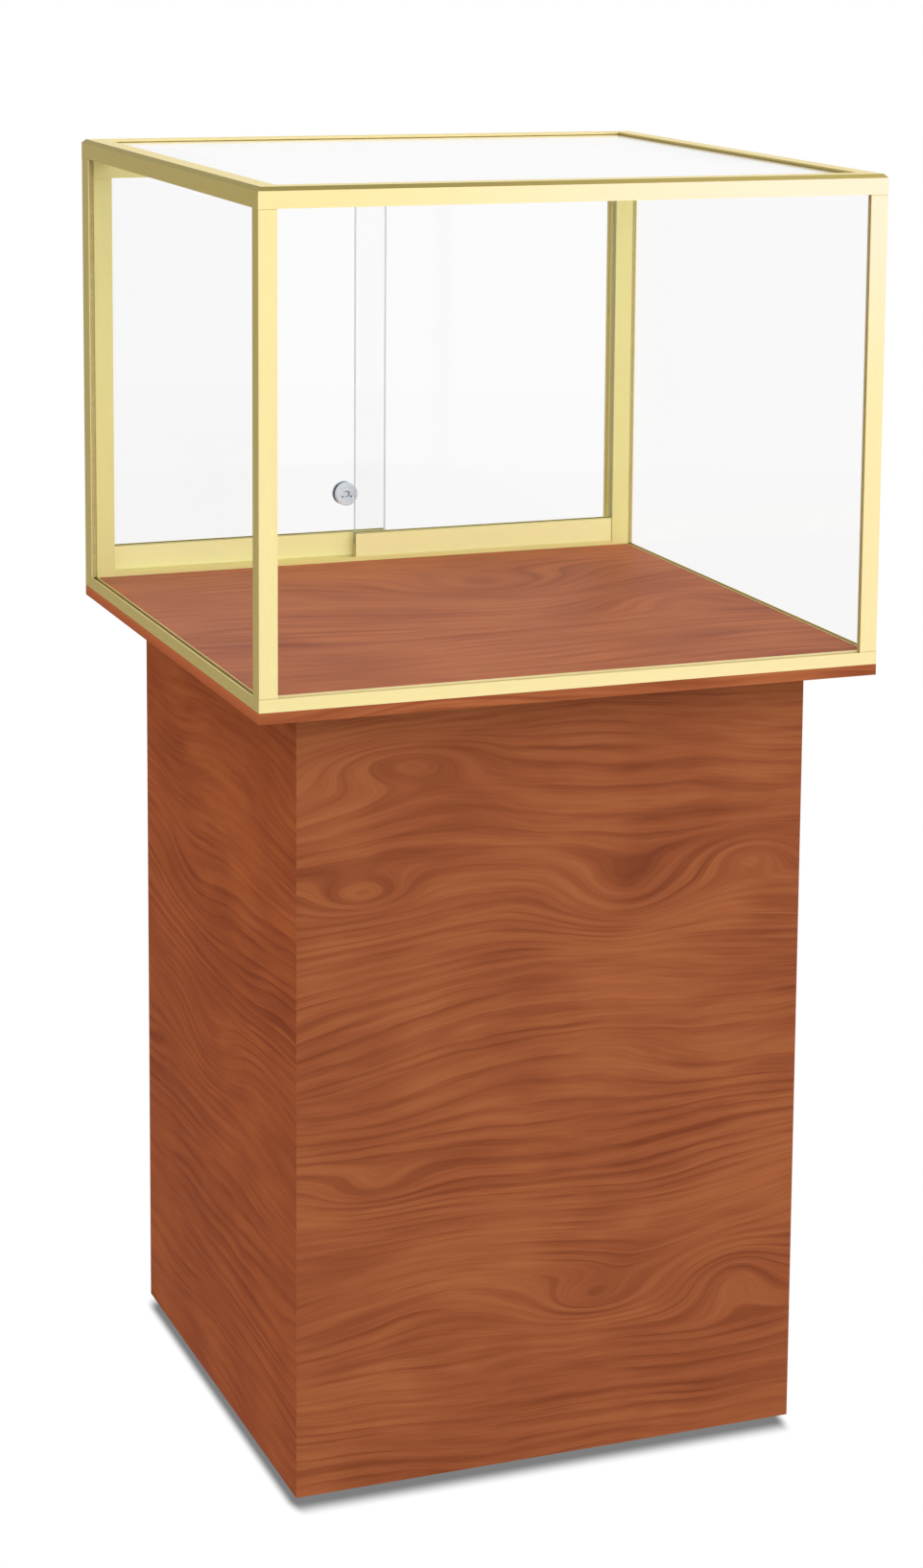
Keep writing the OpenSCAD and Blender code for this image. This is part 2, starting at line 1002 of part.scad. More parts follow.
module door_axles(lane) {
    for (e = [0, 1])
        at_wheel(lane, e)
            cylinder(d = axle_d, h = shoe_w - 0.1, center = true, $fn = 32);
}

// a grooved wheel that straddles the ridge of its lane
module wheel(lane, e) {
    w = wheel_w / 2;
    r = wheel_r - run_fit;
    color(pale)
        at_wheel(lane, e)
            rotate_extrude($fn = 48)
                polygon([
                    [axle_d / 2 + run_fit, -w - 0.4],
                    [axle_d / 2 + 1.3, -w - 0.4],
                    [axle_d / 2 + 1.3, -w],
                    [r + 0.7, -w],
                    [r + 1, -w + 0.3],
                    [r + 1, -2.2],
                    [r, -1.3],
                    [r, 1.3],
                    [r + 1, 2.2],
                    [r + 1, w - 0.3],
                    [r + 0.7, w],
                    [axle_d / 2 + 1.3, w],
                    [axle_d / 2 + 1.3, w + 0.4],
                    [axle_d / 2 + run_fit, w + 0.4]
                ]);
}

module inner_glass() { color(clear) door_glass(1); }
module inner_shoe() { color(gold) door_shoe(1); }
module inner_vinyl() { color(dark) door_vinyl(1); }
module inner_axles() { color(zinc) door_axles(1); }

module outer_glass() {
    color(clear)
        difference() {
            door_glass(0);
            at_lock()
                translate([0, 0, -1])
                    cylinder(d = sleeve_d + 1, h = door_glass_t + 2, $fn = 48);
        }
}

module outer_shoe() { color(gold) door_shoe(0); }
module outer_vinyl() { color(dark) door_vinyl(0); }
module outer_axles() { color(zinc) door_axles(0); }

module wheel_outer_l() { wheel(0, 0); }
module wheel_outer_r() { wheel(0, 1); }
module wheel_inner_l() { wheel(1, 0); }
module wheel_inner_r() { wheel(1, 1); }

// ---- lock ----

// flange outside the glass and a sleeve through it
module lock_barrel() {
    f = nut_d / 2 + 0.3;
    t = -washer_t;
    color(zinc)
        at_lock()
            rotate_extrude($fn = 48)
                polygon([
                    [plunger_d / 2 + run_fit, t - flange_l],
                    [f - 0.9, t - flange_l],
                    [f, t - flange_l + 0.9],
                    [f, t],
                    [sleeve_d / 2, t],
                    [sleeve_d / 2, sleeve_l],
                    [plunger_d / 2 + run_fit, sleeve_l]
                ]);
}

// nut inside the case: a cap with a hole for the nose and two for a pin spanner
module lock_nut() {
    color(zinc)
        at_lock()
            difference() {
                rotate_extrude($fn = 48)
                    polygon([
                        [sleeve_d / 2 + run_fit, nut_t0],
                        [nut_d / 2, nut_t0],
                        [nut_d / 2, nut_t1 - 0.8],
                        [nut_d / 2 - 0.8, nut_t1],
                        [nose_d / 2 + 0.9, nut_t1],
                        [nose_d / 2 + run_fit, nut_t1 - 0.85],
                        [nose_d / 2 + run_fit, plate_t0],
                        [sleeve_d / 2 + run_fit, plate_t0]
                    ]);
                for (s = [-1, 1])
                    translate([s * 4.8, -2.6, plate_t0 - 1])
                        cylinder(d = 2.2, h = 4, $fn = 20);
            }
}

module lock_washers() {
    color(dark)
        at_lock()
            for (t = [-washer_t, door_glass_t])
                translate([0, 0, t])
                    difference() {
                        cylinder(d = nut_d - 1, h = washer_t, $fn = 48);
                        translate([0, 0, -1])
                            cylinder(d = sleeve_d + 2 * run_fit, h = 3, $fn = 48);
                    }
}

// plunger, sprung out; pushed in, its nose comes out of the nut toward the inner door
module lock_plunger() {
    r = plunger_d / 2;
    color(zinc)
        at_lock()
            rotate_extrude($fn = 48)
                polygon([
                    [plug_d / 2 + run_fit, plunger_front],
                    [r - 0.5, plunger_front],
                    [r, plunger_front + 0.5],
                    [r, plunger_back],
                    [nose_d / 2, plunger_back],
                    [nose_d / 2, nose_t - 0.5],
                    [nose_d / 2 - 0.5, nose_t],
                    [0, nose_t],
                    [0, plunger_back - 1.1],
                    [plug_d / 2 + run_fit, plunger_back - 1.1]
                ]);
}

module lock_key_plug() {
    z0 = plunger_front + 0.2;
    color(zinc)
        at_lock()
            difference() {
                translate([0, 0, z0])
                    cylinder(d = plug_d, h = plunger_back - 1.3 - z0, $fn = 40);
                translate([-0.6, -2.8, z0 - 1])
                    cube([1.2, 5.6, 4]);
                translate([-1.1, 0.4, z0 - 1])
                    cube([2.2, 1.4, 4]);
            }
}

// compression spring between the plunger and the nut
coil_t0 = plunger_back + seam;
coil_l = plate_t0 - plunger_back - 2 * seam;
coil_wire = 0.7;
coil_r = plunger_d / 4 + nose_d / 4;
coil_end = coil_wire + 0.04;
coil_turns = 3;
coil_pitch = (coil_l - coil_wire - 2 * coil_end) / (coil_turns - 2);

function coil_z(t) = t < 1 ? t * coil_end
    : t < coil_turns - 1 ? coil_end + (t - 1) * coil_pitch
    : coil_end + (coil_turns - 2) * coil_pitch + (t - coil_turns + 1) * coil_end;

module lock_spring() {
    n = 20;
    m = 6;
    last = coil_turns * n;
    color(zinc)
        at_lock()
            translate([0, 0, coil_t0 + coil_wire / 2])
                polyhedron(
                    points = [
                        for (i = [0:last])
                            for (j = [0:m - 1])
                                let (a = 360 * i / n, q = 360 * j / m)
                                    let (r = coil_r + coil_wire / 2 * cos(q))
                                        [
                                            r * cos(a),
                                            r * sin(a),
                                            coil_z(i / n) + coil_wire / 2 * sin(q)
                                        ]
                    ],
                    faces = concat(
                        [for (j = [1:m - 2]) [0, j + 1, j]],
                        [
                            for (i = [0:last - 1])
                                for (j = [0:m - 1])
                                    [i * m + j, i * m + (j + 1) % m, (i + 1) * m + j]
                        ],
                        [
                            for (i = [0:last - 1])
                                for (j = [0:m - 1])
                                    [
                                        i * m + (j + 1) % m,
                                        (i + 1) * m + (j + 1) % m,
                                        (i + 1) * m + j
                                    ]
                        ],
                        [for (j = [1:m - 2]) [last * m, last * m + j, last * m + j + 1]]
                    ),
                    convexity = 8
                );
}

// ---- choice of node ----

pedestal_front();
pedestal_right();
pedestal_rear();
pedestal_left();
pedestal_top();
pedestal_base();
cleat_fl();
cleat_fr();
cleat_rl();
cleat_rr();
cleat_screws();
base_board();
board_edging();
board_screws();
display_deck();
base_rail_front();
base_rail_right();
base_rail_rear();
base_rail_left();
top_rail_front();
top_rail_right();
top_rail_rear();
top_rail_left();
post_fl();
post_fr();
post_rl();
post_rr();
jamb_left();
jamb_right();
door_track();
door_header();
corner_keys();
post_pins();
frame_screws();
pane_front();
pane_left();
pane_right();
pane_top();
top_gasket();
setting_strips();
inner_glass();
inner_shoe();
inner_vinyl();
inner_axles();
outer_glass();
outer_shoe();
outer_vinyl();
outer_axles();
wheel_outer_l();
wheel_outer_r();
wheel_inner_l();
wheel_inner_r();
lock_barrel();
lock_nut();
lock_washers();
lock_plunger();
lock_key_plug();
lock_spring();
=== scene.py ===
"""Looks for the pedestal display case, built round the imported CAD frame.

The CAD nodes carry the shapes. This script gives every node a procedural
finish and fine edge rounding, adds the lips of the glazing channels, and
sets up a plain studio with one camera at the photograph's angle.
"""

import json
import logging
import math
from dataclasses import dataclass, field
from enum import Enum

import bmesh
import bpy
from mathutils import Matrix, Vector

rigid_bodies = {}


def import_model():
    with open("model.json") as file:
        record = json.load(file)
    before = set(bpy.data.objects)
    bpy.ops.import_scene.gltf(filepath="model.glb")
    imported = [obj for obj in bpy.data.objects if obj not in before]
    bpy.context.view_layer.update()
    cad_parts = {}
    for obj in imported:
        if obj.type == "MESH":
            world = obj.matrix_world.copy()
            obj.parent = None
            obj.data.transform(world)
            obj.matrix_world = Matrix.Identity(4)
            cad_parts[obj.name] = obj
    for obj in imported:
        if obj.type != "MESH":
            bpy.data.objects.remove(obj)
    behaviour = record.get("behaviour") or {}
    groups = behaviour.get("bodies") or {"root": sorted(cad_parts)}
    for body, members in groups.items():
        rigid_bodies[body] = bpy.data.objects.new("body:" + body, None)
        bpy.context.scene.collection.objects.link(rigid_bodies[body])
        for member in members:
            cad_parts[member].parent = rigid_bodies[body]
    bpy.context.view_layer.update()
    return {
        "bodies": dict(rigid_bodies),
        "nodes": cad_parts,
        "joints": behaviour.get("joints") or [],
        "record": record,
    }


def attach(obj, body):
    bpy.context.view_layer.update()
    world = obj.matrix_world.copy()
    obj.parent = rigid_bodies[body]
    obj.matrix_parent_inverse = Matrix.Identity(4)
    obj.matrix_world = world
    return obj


LOG = logging.getLogger("scene")

RGB = tuple[float, float, float]
Socket = bpy.types.NodeSocket
Value = bpy.types.NodeSocket | float | tuple[float, ...]

# Share of a face's normal along an axis, from "not at all" to "fully".
FACING = (0.6, 0.8)
SQUARE = (0.8, 0.9)
SLANTED = (0.5, 0.6)

WHITE: RGB = (1.0, 1.0, 1.0)


def linear(red: float, green: float, blue: float) -> RGB:
    """Turns an sRGB colour in 0 to 255 into linear light.

    Args:
        red: red part, 0 to 255.
        green: green part, 0 to 255.
        blue: blue part, 0 to 255.

    Returns:
        The three linear values, 0 to 1.
    """

    def one(value: float) -> float:
        """Turns one part, by the sRGB curve."""
        part = value / 255.0
        return part / 12.92 if part <= 0.04045 else ((part + 0.055) / 1.055) ** 2.4

    return one(red), one(green), one(blue)


def scaled(colour: RGB, by: float | RGB) -> RGB:
    """Makes a linear colour darker or brighter.

    Args:
        colour: the colour.
        by: one factor, or one each for red, green and blue.

    Returns:
        The scaled colour.
    """
    factors = by if isinstance(by, tuple) else (by, by, by)
    red, green, blue = (part * factor for part, factor in zip(colour, factors))
    return red, green, blue


class Axis(Enum):
    """A direction of the case, by its index in a vector."""

    X = 0
    Y = 1
    Z = 2


class Rays(Enum):
    """Kinds of light ray that a shader can tell apart."""

    CAMERA = "Is Camera Ray"
    GLOSSY = "Is Glossy Ray"
    TRANSMISSION = "Is Transmission Ray"


class Graph:
    """A short way to write one node tree."""

    def __init__(self, tree: bpy.types.NodeTree) -> None:
        """Clears the tree and keeps it.

        Args:
            tree: the material's or world's node tree.
        """
        self.tree = tree
        tree.nodes.clear()

    def add(self, kind: str, **settings: object) -> bpy.types.Node:
        """Adds a node.

        Args:
            kind: Blender's name of the node type.
            settings: properties of the node to set.

        Returns:
            The new node.
        """
        node = self.tree.nodes.new(kind)
        for name, value in settings.items():
            setattr(node, name, value)
        return node

    def put(self, socket: Socket, value: Value) -> None:
        """Links a socket to another, or gives it a constant.

        Args:
            socket: the input to fill.
            value: an output socket, a number or a tuple.
        """
        if isinstance(value, bpy.types.NodeSocket):
            self.tree.links.new(value, socket)
        elif isinstance(value, tuple) and len(value) == 3 and socket.type == "RGBA":
            socket.default_value = (*value, 1.0)
        else:
            socket.default_value = value

    def math(self, how: str, a: Value, b: Value = 0.0, c: Value = 0.0) -> Socket:
        """Adds a maths node.

        Args:
            how: the operation, such as "MULTIPLY".
            a: first operand.
            b: second operand.
            c: third operand, for the operations that take one.

        Returns:
            The result's socket.
        """
        node = self.add("ShaderNodeMath", operation=how)
        for socket, value in zip(node.inputs, (a, b, c)):
            self.put(socket, value)
        return node.outputs[0]

    def fit(
        self, value: Value, low: float, high: float, to0: Value = 0.0, to1: Value = 1.0
    ) -> Socket:
        """Maps low..high to to0..to1, smoothly and clamped.

        Args:
            value: the socket to map.
            low: value that gives to0.
            high: value that gives to1.
            to0: result at low.
            to1: result at high.

        Returns:
            The mapped value's socket.
        """
        node = self.add("ShaderNodeMapRange", interpolation_type="SMOOTHSTEP")
        names = ("Value", "From Min", "From Max", "To Min", "To Max")
        for name, given in zip(names, (value, low, high, to0, to1)):
            self.put(node.inputs[name], given)
        return node.outputs["Result"]

    def spread(self, noise: Value, to0: float = 0.0, to1: float = 1.0) -> Socket:
        """Maps the range that a noise mostly has, 0.3 to 0.7, to to0..to1.

        Args:
            noise: the noise's socket.
            to0: result in its low places.
            to1: result in its high places.

        Returns:
            The mapped value's socket.
        """
        return self.fit(noise, 0.3, 0.7, to0, to1)

    def mix(self, share: Value, a: Value, b: Value, how: str = "MIX") -> Socket:
        """Mixes two colours.

        Args:
            share: 0 for a, 1 for b.
            a: first colour.
            b: second colour.
            how: blend type.

        Returns:
            The mixed colour's socket.
        """
        node = self.add("ShaderNodeMix", data_type="RGBA", blend_type=how)
        self.put(node.inputs[0], share)
        self.put(node.inputs[6], a)
        self.put(node.inputs[7], b)
        return node.outputs[2]

    def times(self, colour: Value, factor: Value) -> Socket:
        """Multiplies a colour by another.

        Args:
            colour: the colour.
            factor: a colour or vector of factors.

        Returns:
            The product's socket.
        """
        return self.mix(1.0, colour, factor, "MULTIPLY")

    def shade(self, share: Value, a: Socket, b: Socket) -> Socket:
        """Mixes two shaders.

        Args:
            share: 0 for a, 1 for b.
            a: first shader socket.
            b: second shader socket.

        Returns:
            The mixed shader's socket.
        """
        node = self.add("ShaderNodeMixShader")
        for socket, value in zip(node.inputs, (share, a, b)):
            self.put(socket, value)
        return node.outputs[0]

    def axes(self, vector: Value) -> tuple[Socket, Socket, Socket]:
        """Splits a vector.

        Args:
            vector: the vector's socket.

        Returns:
            Its three parts' sockets.
        """
        node = self.add("ShaderNodeSeparateXYZ")
        self.put(node.inputs[0], vector)
        return node.outputs[0], node.outputs[1], node.outputs[2]

    def vector(self, x: Value, y: Value, z: Value) -> Socket:
        """Joins three numbers into a vector.

        Args:
            x: first part.
            y: second part.
            z: third part.

        Returns:
            The vector's socket.
        """
        node = self.add("ShaderNodeCombineXYZ")
        for socket, value in zip(node.inputs, (x, y, z)):
            self.put(socket, value)
        return node.outputs[0]

    def place(self) -> Socket:
        """Gives the point's place on the case at rest, in metres."""
        return self.add("ShaderNodeTexCoord").outputs["Object"]

    def normal(self) -> tuple[Socket, Socket, Socket]:
        """Gives the flat surface normal in the object's own axes.

        Returns:
            Its three parts' sockets.
        """
        turn = self.add(
            "ShaderNodeVectorTransform",
            vector_type="NORMAL",
            convert_from="WORLD",
            convert_to="OBJECT",
        )
        self.put(turn.inputs[0], self.add("ShaderNodeNewGeometry").outputs["True Normal"])
        return self.axes(turn.outputs[0])

    def facing(self, axis: Axis) -> Socket:
        """Tells whether the surface faces along an axis, either way.

        Args:
            axis: the axis.

        Returns:
            The socket of a share, 1 for a face that does.
        """
        return self.fit(self.math("ABSOLUTE", self.normal()[axis.value]), *FACING)

    def noise(
        self,
        vector: Value,
        scale: float,
        detail: float = 3.0,
        rough: float = 0.5,
        bend: float = 0.0,
    ) -> Socket:
        """Adds a noise texture.

        Args:
            vector: where to sample it.
            scale: waves per metre.
            detail: octaves.
            rough: weight of the finer octaves.
            bend: distortion.

        Returns:
            The socket of its value.
        """
        node = self.add("ShaderNodeTexNoise", noise_dimensions="3D")
        names = ("Vector", "Scale", "Detail", "Roughness", "Distortion")
        for name, value in zip(names, (vector, scale, detail, rough, bend)):
            self.put(node.inputs[name], value)
        return node.outputs[0]

    def ramp(self, value: Value, stops: list[tuple[float, RGB]]) -> Socket:
        """Adds a colour ramp.

        Args:
            value: the socket that drives it.
            stops: places and linear colours.

        Returns:
            The colour's socket.
        """
        node = self.add("ShaderNodeValToRGB")
        band = node.color_ramp
        while len(band.elements) < len(stops):
            band.elements.new(1.0)
        for element, (where, colour) in zip(band.elements, stops):
            element.position = where
            element.color = (*colour, 1.0)
        self.put(node.inputs[0], value)
        return node.outputs[0]

    def bump(self, height: Value, strength: float, distance: float) -> Socket:
        """Adds a bump.

        Args:
            height: the socket of the relief, 0 to 1.
            strength: how much of it shows.
            distance: its depth in metres.

        Returns:
            The normal's socket.
        """
        node = self.add("ShaderNodeBump")
        names = ("Strength", "Distance", "Height")
        for name, value in zip(names, (strength, distance, height)):
            self.put(node.inputs[name], value)
        return node.outputs[0]

    def crease_shade(self, reach: float) -> Socket:
        """Finds seams and inner corners by occlusion, for painted shade there, but not the walls
        close behind a pane.

        Args:
            reach: how far from the corner it counts, in metres.

        Returns:
            The socket of a share, 1 in the seam and 0 in the open.
        """
        node = self.add("ShaderNodeAmbientOcclusion", samples=8)
        self.put(node.inputs["Distance"], reach)
        sky = node.outputs["AO"]
        seam = self.fit(sky, 0.5, 0.95, 1.0, 0.0)
        not_covered = self.fit(sky, 0.04, 0.2)
        return self.math("MULTIPLY", seam, not_covered)

    def sees_backdrop(self, path: bpy.types.Node) -> Socket:
        """Tells rays from the camera, straight or through glass, from all others.

        Args:
            path: the light path node.

        Returns:
            The socket of a share, 1 for such a ray.
        """
        straight = path.outputs[Rays.CAMERA.value]
        return self.math("MAXIMUM", straight, path.outputs[Rays.TRANSMISSION.value])

    def surface(self, **inputs: Value) -> Socket:
        """Adds the standard surface shader.

        Args:
            inputs: its inputs, with underscores for spaces.

        Returns:
            The shader's socket.
        """
        node = self.add("ShaderNodeBsdfPrincipled")
        for name, value in inputs.items():
            self.put(node.inputs[name.replace("_", " ")], value)
        return node.outputs[0]

    def plain(self, kind: str, **inputs: Value) -> Socket:
        """Adds a simple shader, such as one that only glows.

        Args:
            kind: Blender's name of the node type.
            inputs: its inputs.

        Returns:
            The shader's socket.
        """
        node = self.add(kind)
        for name, value in inputs.items():
            self.put(node.inputs[name], value)
        return node.outputs[0]

    def out(self, shader: Socket, kind: str = "ShaderNodeOutputMaterial") -> None:
        """Sends a shader to the surface output.

        Args:
            shader: the shader's socket.
            kind: Blender's name of the output node.
        """
        self.put(self.add(kind).inputs["Surface"], shader)


class Finish:
    """A material that can be made by name; each kind of finish derives from it."""

    slot: str = ""

    def draw(self, g: Graph) -> None:
        """Writes the nodes.

        Args:
            g: the graph of the new material.
        """
        raise NotImplementedError

    def make(self, name: str) -> bpy.types.Material:
        """Makes the material once, and gives the same one after that.

        Args:
            name: the material's name.

        Returns:
            The material.
        """
        found = bpy.data.materials.get(name)
        if found is not None:
            return found
        made = bpy.data.materials.new(name)
        made.use_nodes = True
        self.draw(Graph(made.node_tree))
        return made


@dataclass(frozen=True)
class Gold(Finish):
    """Pale gold anodised aluminium with fine die lines along the extrusion.

    tint is the colour of a front face. side and the chamfer factor darken faces
    to the left and right and the slanted edge: painted shade. joint is for the
    seams at the heights in seams. corner darkens inner corners and seams found by
    occlusion: painted shade. The highlight share is how much of pale, a painted
    highlight, a front face gets at the upper right of the case.
    """

    along: Axis
    metal: float = 0.3
    # Painted highlight: share of pale that front faces get at the upper right.
    painted_highlight: float = 0.0
    tint: RGB = linear(248, 230, 166)
    # Colour of the painted highlight.
    pale: RGB = linear(255, 231, 202)
    sheen: RGB = linear(255, 240, 170)
    # Painted shade: factor for the slanted edges.
    chamfer_shade: RGB = (0.48, 0.46, 0.31)
    # Painted shade: factor for faces to the left and right.
    side: RGB = (0.74, 0.70, 0.49)
    joint: RGB = (0.62, 0.56, 0.42)
    # Painted shade: factor for inner corners and seams found by occlusion.
    corner: RGB = (0.78, 0.72, 0.54)
    seams: tuple[float, ...] = ()
    seam_core: float = 0.0003
    seam_edge: float = 0.0011
    # Reach of the painted shade in inner corners and seams.
    corner_shade_reach: float = 0.0012
    die_lines: float = 2600.0
    die_stretch: float = 0.02
    slot: str = "gold_aluminium"

    def anodised(self, g: Graph, lines: Socket) -> Socket:
        """Varies the tint from die line to die line and in slow clouds.

        Args:
            g: the graph of the new material.
            lines: the die lines' socket.

        Returns:
            The colour's socket.
        """
        tint = g.mix(g.fit(lines, 0.35, 0.65), self.tint, scaled(self.tint, 0.955))
        cloud = g.noise(g.place(), 7.0, 2.0, 0.5)
        return g.mix(g.spread(cloud, 0.0, 0.35), tint, scaled(self.tint, 0.93))

    def draw(self, g: Graph) -> None:
        """Writes the nodes.

        Args:
            g: the graph of the new material.
        """
        x, y, z = g.axes(g.place())
        parts = [x, y, z]
        parts[self.along.value] = g.math("MULTIPLY", parts[self.along.value], self.die_stretch)
        lines = g.noise(g.vector(*parts), self.die_lines, 2.0, 0.6)
        tint = self.anodised(g, lines)

        side, ahead, slope = (g.math("ABSOLUTE", part) for part in g.normal())
        # Painted highlight: front faces towards the upper right of the case turn pale.
        to_right = g.fit(x, -0.28, 0.24, 0.0, self.painted_highlight)
        painted_highlight = g.math("MULTIPLY", to_right, g.fit(z, 1.0, 1.22, 0.15, 1.0))
        tint = g.mix(g.math("MULTIPLY", painted_highlight, g.fit(ahead, *SQUARE)), tint, self.pale)
        # Painted shade: faces to the left and right are darkened.
        tint = g.mix(g.fit(side, *SQUARE), tint, g.times(tint, self.side))

        # Painted shade on the slanted edges, deeper towards the left of the case and lighter
        # towards the right.
        not_top = g.fit(slope, *SQUARE, 1.0, 0.0)
        cut = g.math("MULTIPLY", g.fit(slope, *SLANTED), not_top)
        lit = g.fit(x, -0.28, 0.28, 0.76, 1.15)
        slanted = g.times(g.times(tint, g.vector(lit, lit, lit)), self.chamfer_shade)
        tint = g.mix(cut, tint, slanted)

        for height in self.seams:
            near = g.math("ABSOLUTE", g.math("SUBTRACT", z, height))
            line = g.fit(near, self.seam_core, self.seam_edge, 0.6, 0.0)
            tint = g.mix(line, tint, scaled(self.tint, self.joint))
        # Painted shade in inner corners and seams, found by occlusion.
        tint = g.mix(g.crease_shade(self.corner_shade_reach), tint, scaled(self.tint, self.corner))

        dull = g.math("MAXIMUM", g.fit(side, 0.5, 0.65), cut)
        g.out(
            g.surface(
                Base_Color=tint,
                Metallic=self.metal,
                Roughness=g.spread(lines, 0.34, 0.42),
                Specular_Tint=self.sheen,
                Specular_IOR_Level=g.math("MULTIPLY_ADD", dull, -0.4, 0.5),
                Normal=g.bump(lines, 0.12, 0.00004),
            )
        )


@dataclass(frozen=True)
class Eye:
    """A place where the growth lines bulge, as round a knot.

    along and across are its place on the face, wide and high its reach, and
    lift is how far it shifts the growth lines, all in metres.
    """

    along: float
    across: float
    wide: float
    high: float
    lift: float


@dataclass(frozen=True)
class Streak:
    """Noise that is drawn out along the grain.

    stretch is how slowly it runs along the grain, offset keeps it apart from
    the others, scale is in waves per metre, rough is the weight of its finer
    waves, and depth is how much it changes the tone.
    """

    stretch: float
    offset: float
    scale: float
    rough: float
    depth: float


@dataclass(frozen=True)
class Laminate(Finish):
    """Cherry wood-grain laminate: flowing flat-sawn figure, fine fibres and a satin skin.

    along and across are the grain's axes, and face is the laminated side of
    the board, or None where the skin goes all round. swing is how far the
    growth lines wander in metres and rings their number per metre.
    """

    along: Axis
    across: Axis
    face: Axis | None
    seed: float = 0.0
    swing: float = 0.12
    rings: float = 80.0
    gloss: float = 0.06
    lift: float = 1.0
    # Painted light: factor that makes faces to the left and right lighter and redder, against
    # the lower light they get.
    side: RGB = (1.44, 1.17, 0.90)
    contrast: float = 1.0
    eyes: tuple[Eye, ...] = ()
    uneven: float = 2.6
    ring_depth: float = 0.25
    base_tone: float = 0.57
    strand: Streak = Streak(0.07, 2.0, 110.0, 0.5, 0.19)
    fibre: Streak = Streak(0.035, 0.0, 520.0, 0.6, 0.13)
    cloud: Streak = Streak(0.6, 7.0, 11.0, 0.5, 0.20)
    patch: Streak = Streak(0.7, 9.0, 9.0, 0.5, 1.0)
    dark: RGB = linear(115, 55, 32)
    mid: RGB = linear(149, 81, 48)
    light: RGB = linear(177, 106, 64)
    core: RGB = linear(196, 172, 134)
    slot: str = "cherry_laminate"

    def flow(self, g: Graph, s: Value, t: Value) -> Socket:
        """Bends the distance across the grain, so that even steps of it are growth lines.

        Args:
            g: the graph of the new material.
            s: place along the grain.
            t: place across the grain.

        Returns:
            The bent distance's socket.
        """
        slow = g.vector(g.math("MULTIPLY", s, 0.40), t, self.seed)
        level = g.math("MULTIPLY_ADD", g.noise(slow, 6.0, 1.5, 0.35), self.swing, t)
        ripple = g.noise(slow, 26.0, 2.0, 0.45)
        level = g.math("MULTIPLY_ADD", ripple, self.swing * 0.07, level)
        for eye in self.eyes:
            beside = g.math("MULTIPLY_ADD", s, 1.0 / eye.wide, -eye.along / eye.wide)
            above = g.math("MULTIPLY_ADD", t, 1.0 / eye.high, -eye.across / eye.high)
            away = g.math("ADD", g.math("POWER", above, 2.0), g.math("POWER", beside, 2.0))
            hump = g.math("EXPONENT", g.math("MULTIPLY", away, -1.0))
            level = g.math("MULTIPLY_ADD", hump, eye.lift, level)
        return level

    def streak(self, g: Graph, s: Value, level: Value, kind: Streak) -> Socket:
        """Draws one kind of streak.

        Args:
            g: the graph of the new material.
            s: place along the grain.
            level: bent distance across the grain.
            kind: which streak.

        Returns:
            The noise's socket.
        """
        where = g.vector(g.math("MULTIPLY", s, kind.stretch), level, self.seed + kind.offset)
        return g.noise(where, kind.scale, 2.0, kind.rough)

    def growth(self, g: Graph, s: Value, level: Value) -> Socket:
        """Draws the growth lines, unevenly spaced and fading in patches.

        Args:
            g: the graph of the new material.
            s: place along the grain.
            level: bent distance across the grain.

        Returns:
            The socket of a share, 1 in a line's dark late wood.
        """
        spacing = g.noise(g.vector(level, 0.0, self.seed), 42.0, 2.0, 0.5)
        even = g.math("MULTIPLY", level, self.rings)
        year = g.math("FRACT", g.math("MULTIPLY_ADD", spacing, self.uneven, even))
        late_wood = g.fit(year, 0.40, 0.90)
        ring = g.math("MULTIPLY", late_wood, g.fit(year, 0.90, 1.0, 1.0, 0.0))
        patch = self.streak(g, s, level, self.patch)
        return g.math("MULTIPLY", ring, g.fit(patch, 0.36, 0.62, 0.15, 1.0))

    def draw(self, g: Graph) -> None:
        """Writes the nodes.

        Args:
            g: the graph of the new material.
        """
        parts = g.axes(g.place())
        s, t = parts[self.along.value], parts[self.across.value]
        level = self.flow(g, s, t)
        ring = self.growth(g, s, level)
        fibre = self.streak(g, s, level, self.fibre)
        tone = g.math("MULTIPLY_ADD", ring, -self.ring_depth, self.base_tone)
        for kind, drawn in (
            (self.strand, self.streak(g, s, level, self.strand)),
            (self.fibre, fibre),
            (self.cloud, self.streak(g, s, level, self.cloud)),
        ):
            tone = g.math("MULTIPLY_ADD", g.spread(drawn, -0.5, 0.5), kind.depth, tone)
        tone = g.math("MULTIPLY_ADD", tone, self.contrast, 0.5 - 0.5 * self.contrast)
        stops = ((0.05, self.dark), (0.5, self.mid), (0.95, self.light))
        wood = g.ramp(tone, [(where, scaled(shade, self.lift)) for where, shade in stops])
        # Painted light: faces to the left and right are made lighter and redder.
        wood = g.mix(g.facing(Axis.X), wood, g.times(wood, self.side))

        skin = 1.0 if self.face is None else g.facing(self.face)
        flecks = g.noise(g.place(), 900.0, 2.0, 0.7)
        board = g.mix(g.fit(flecks, 0.35, 0.65), self.core, scaled(self.core, 0.6))
        g.out(
            g.surface(
                Base_Color=g.mix(skin, board, wood),
                Roughness=g.spread(fibre, 0.42, 0.52),
                Specular_IOR_Level=self.gloss,
                Normal=g.bump(fibre, 0.10, 0.0001),
            )
        )


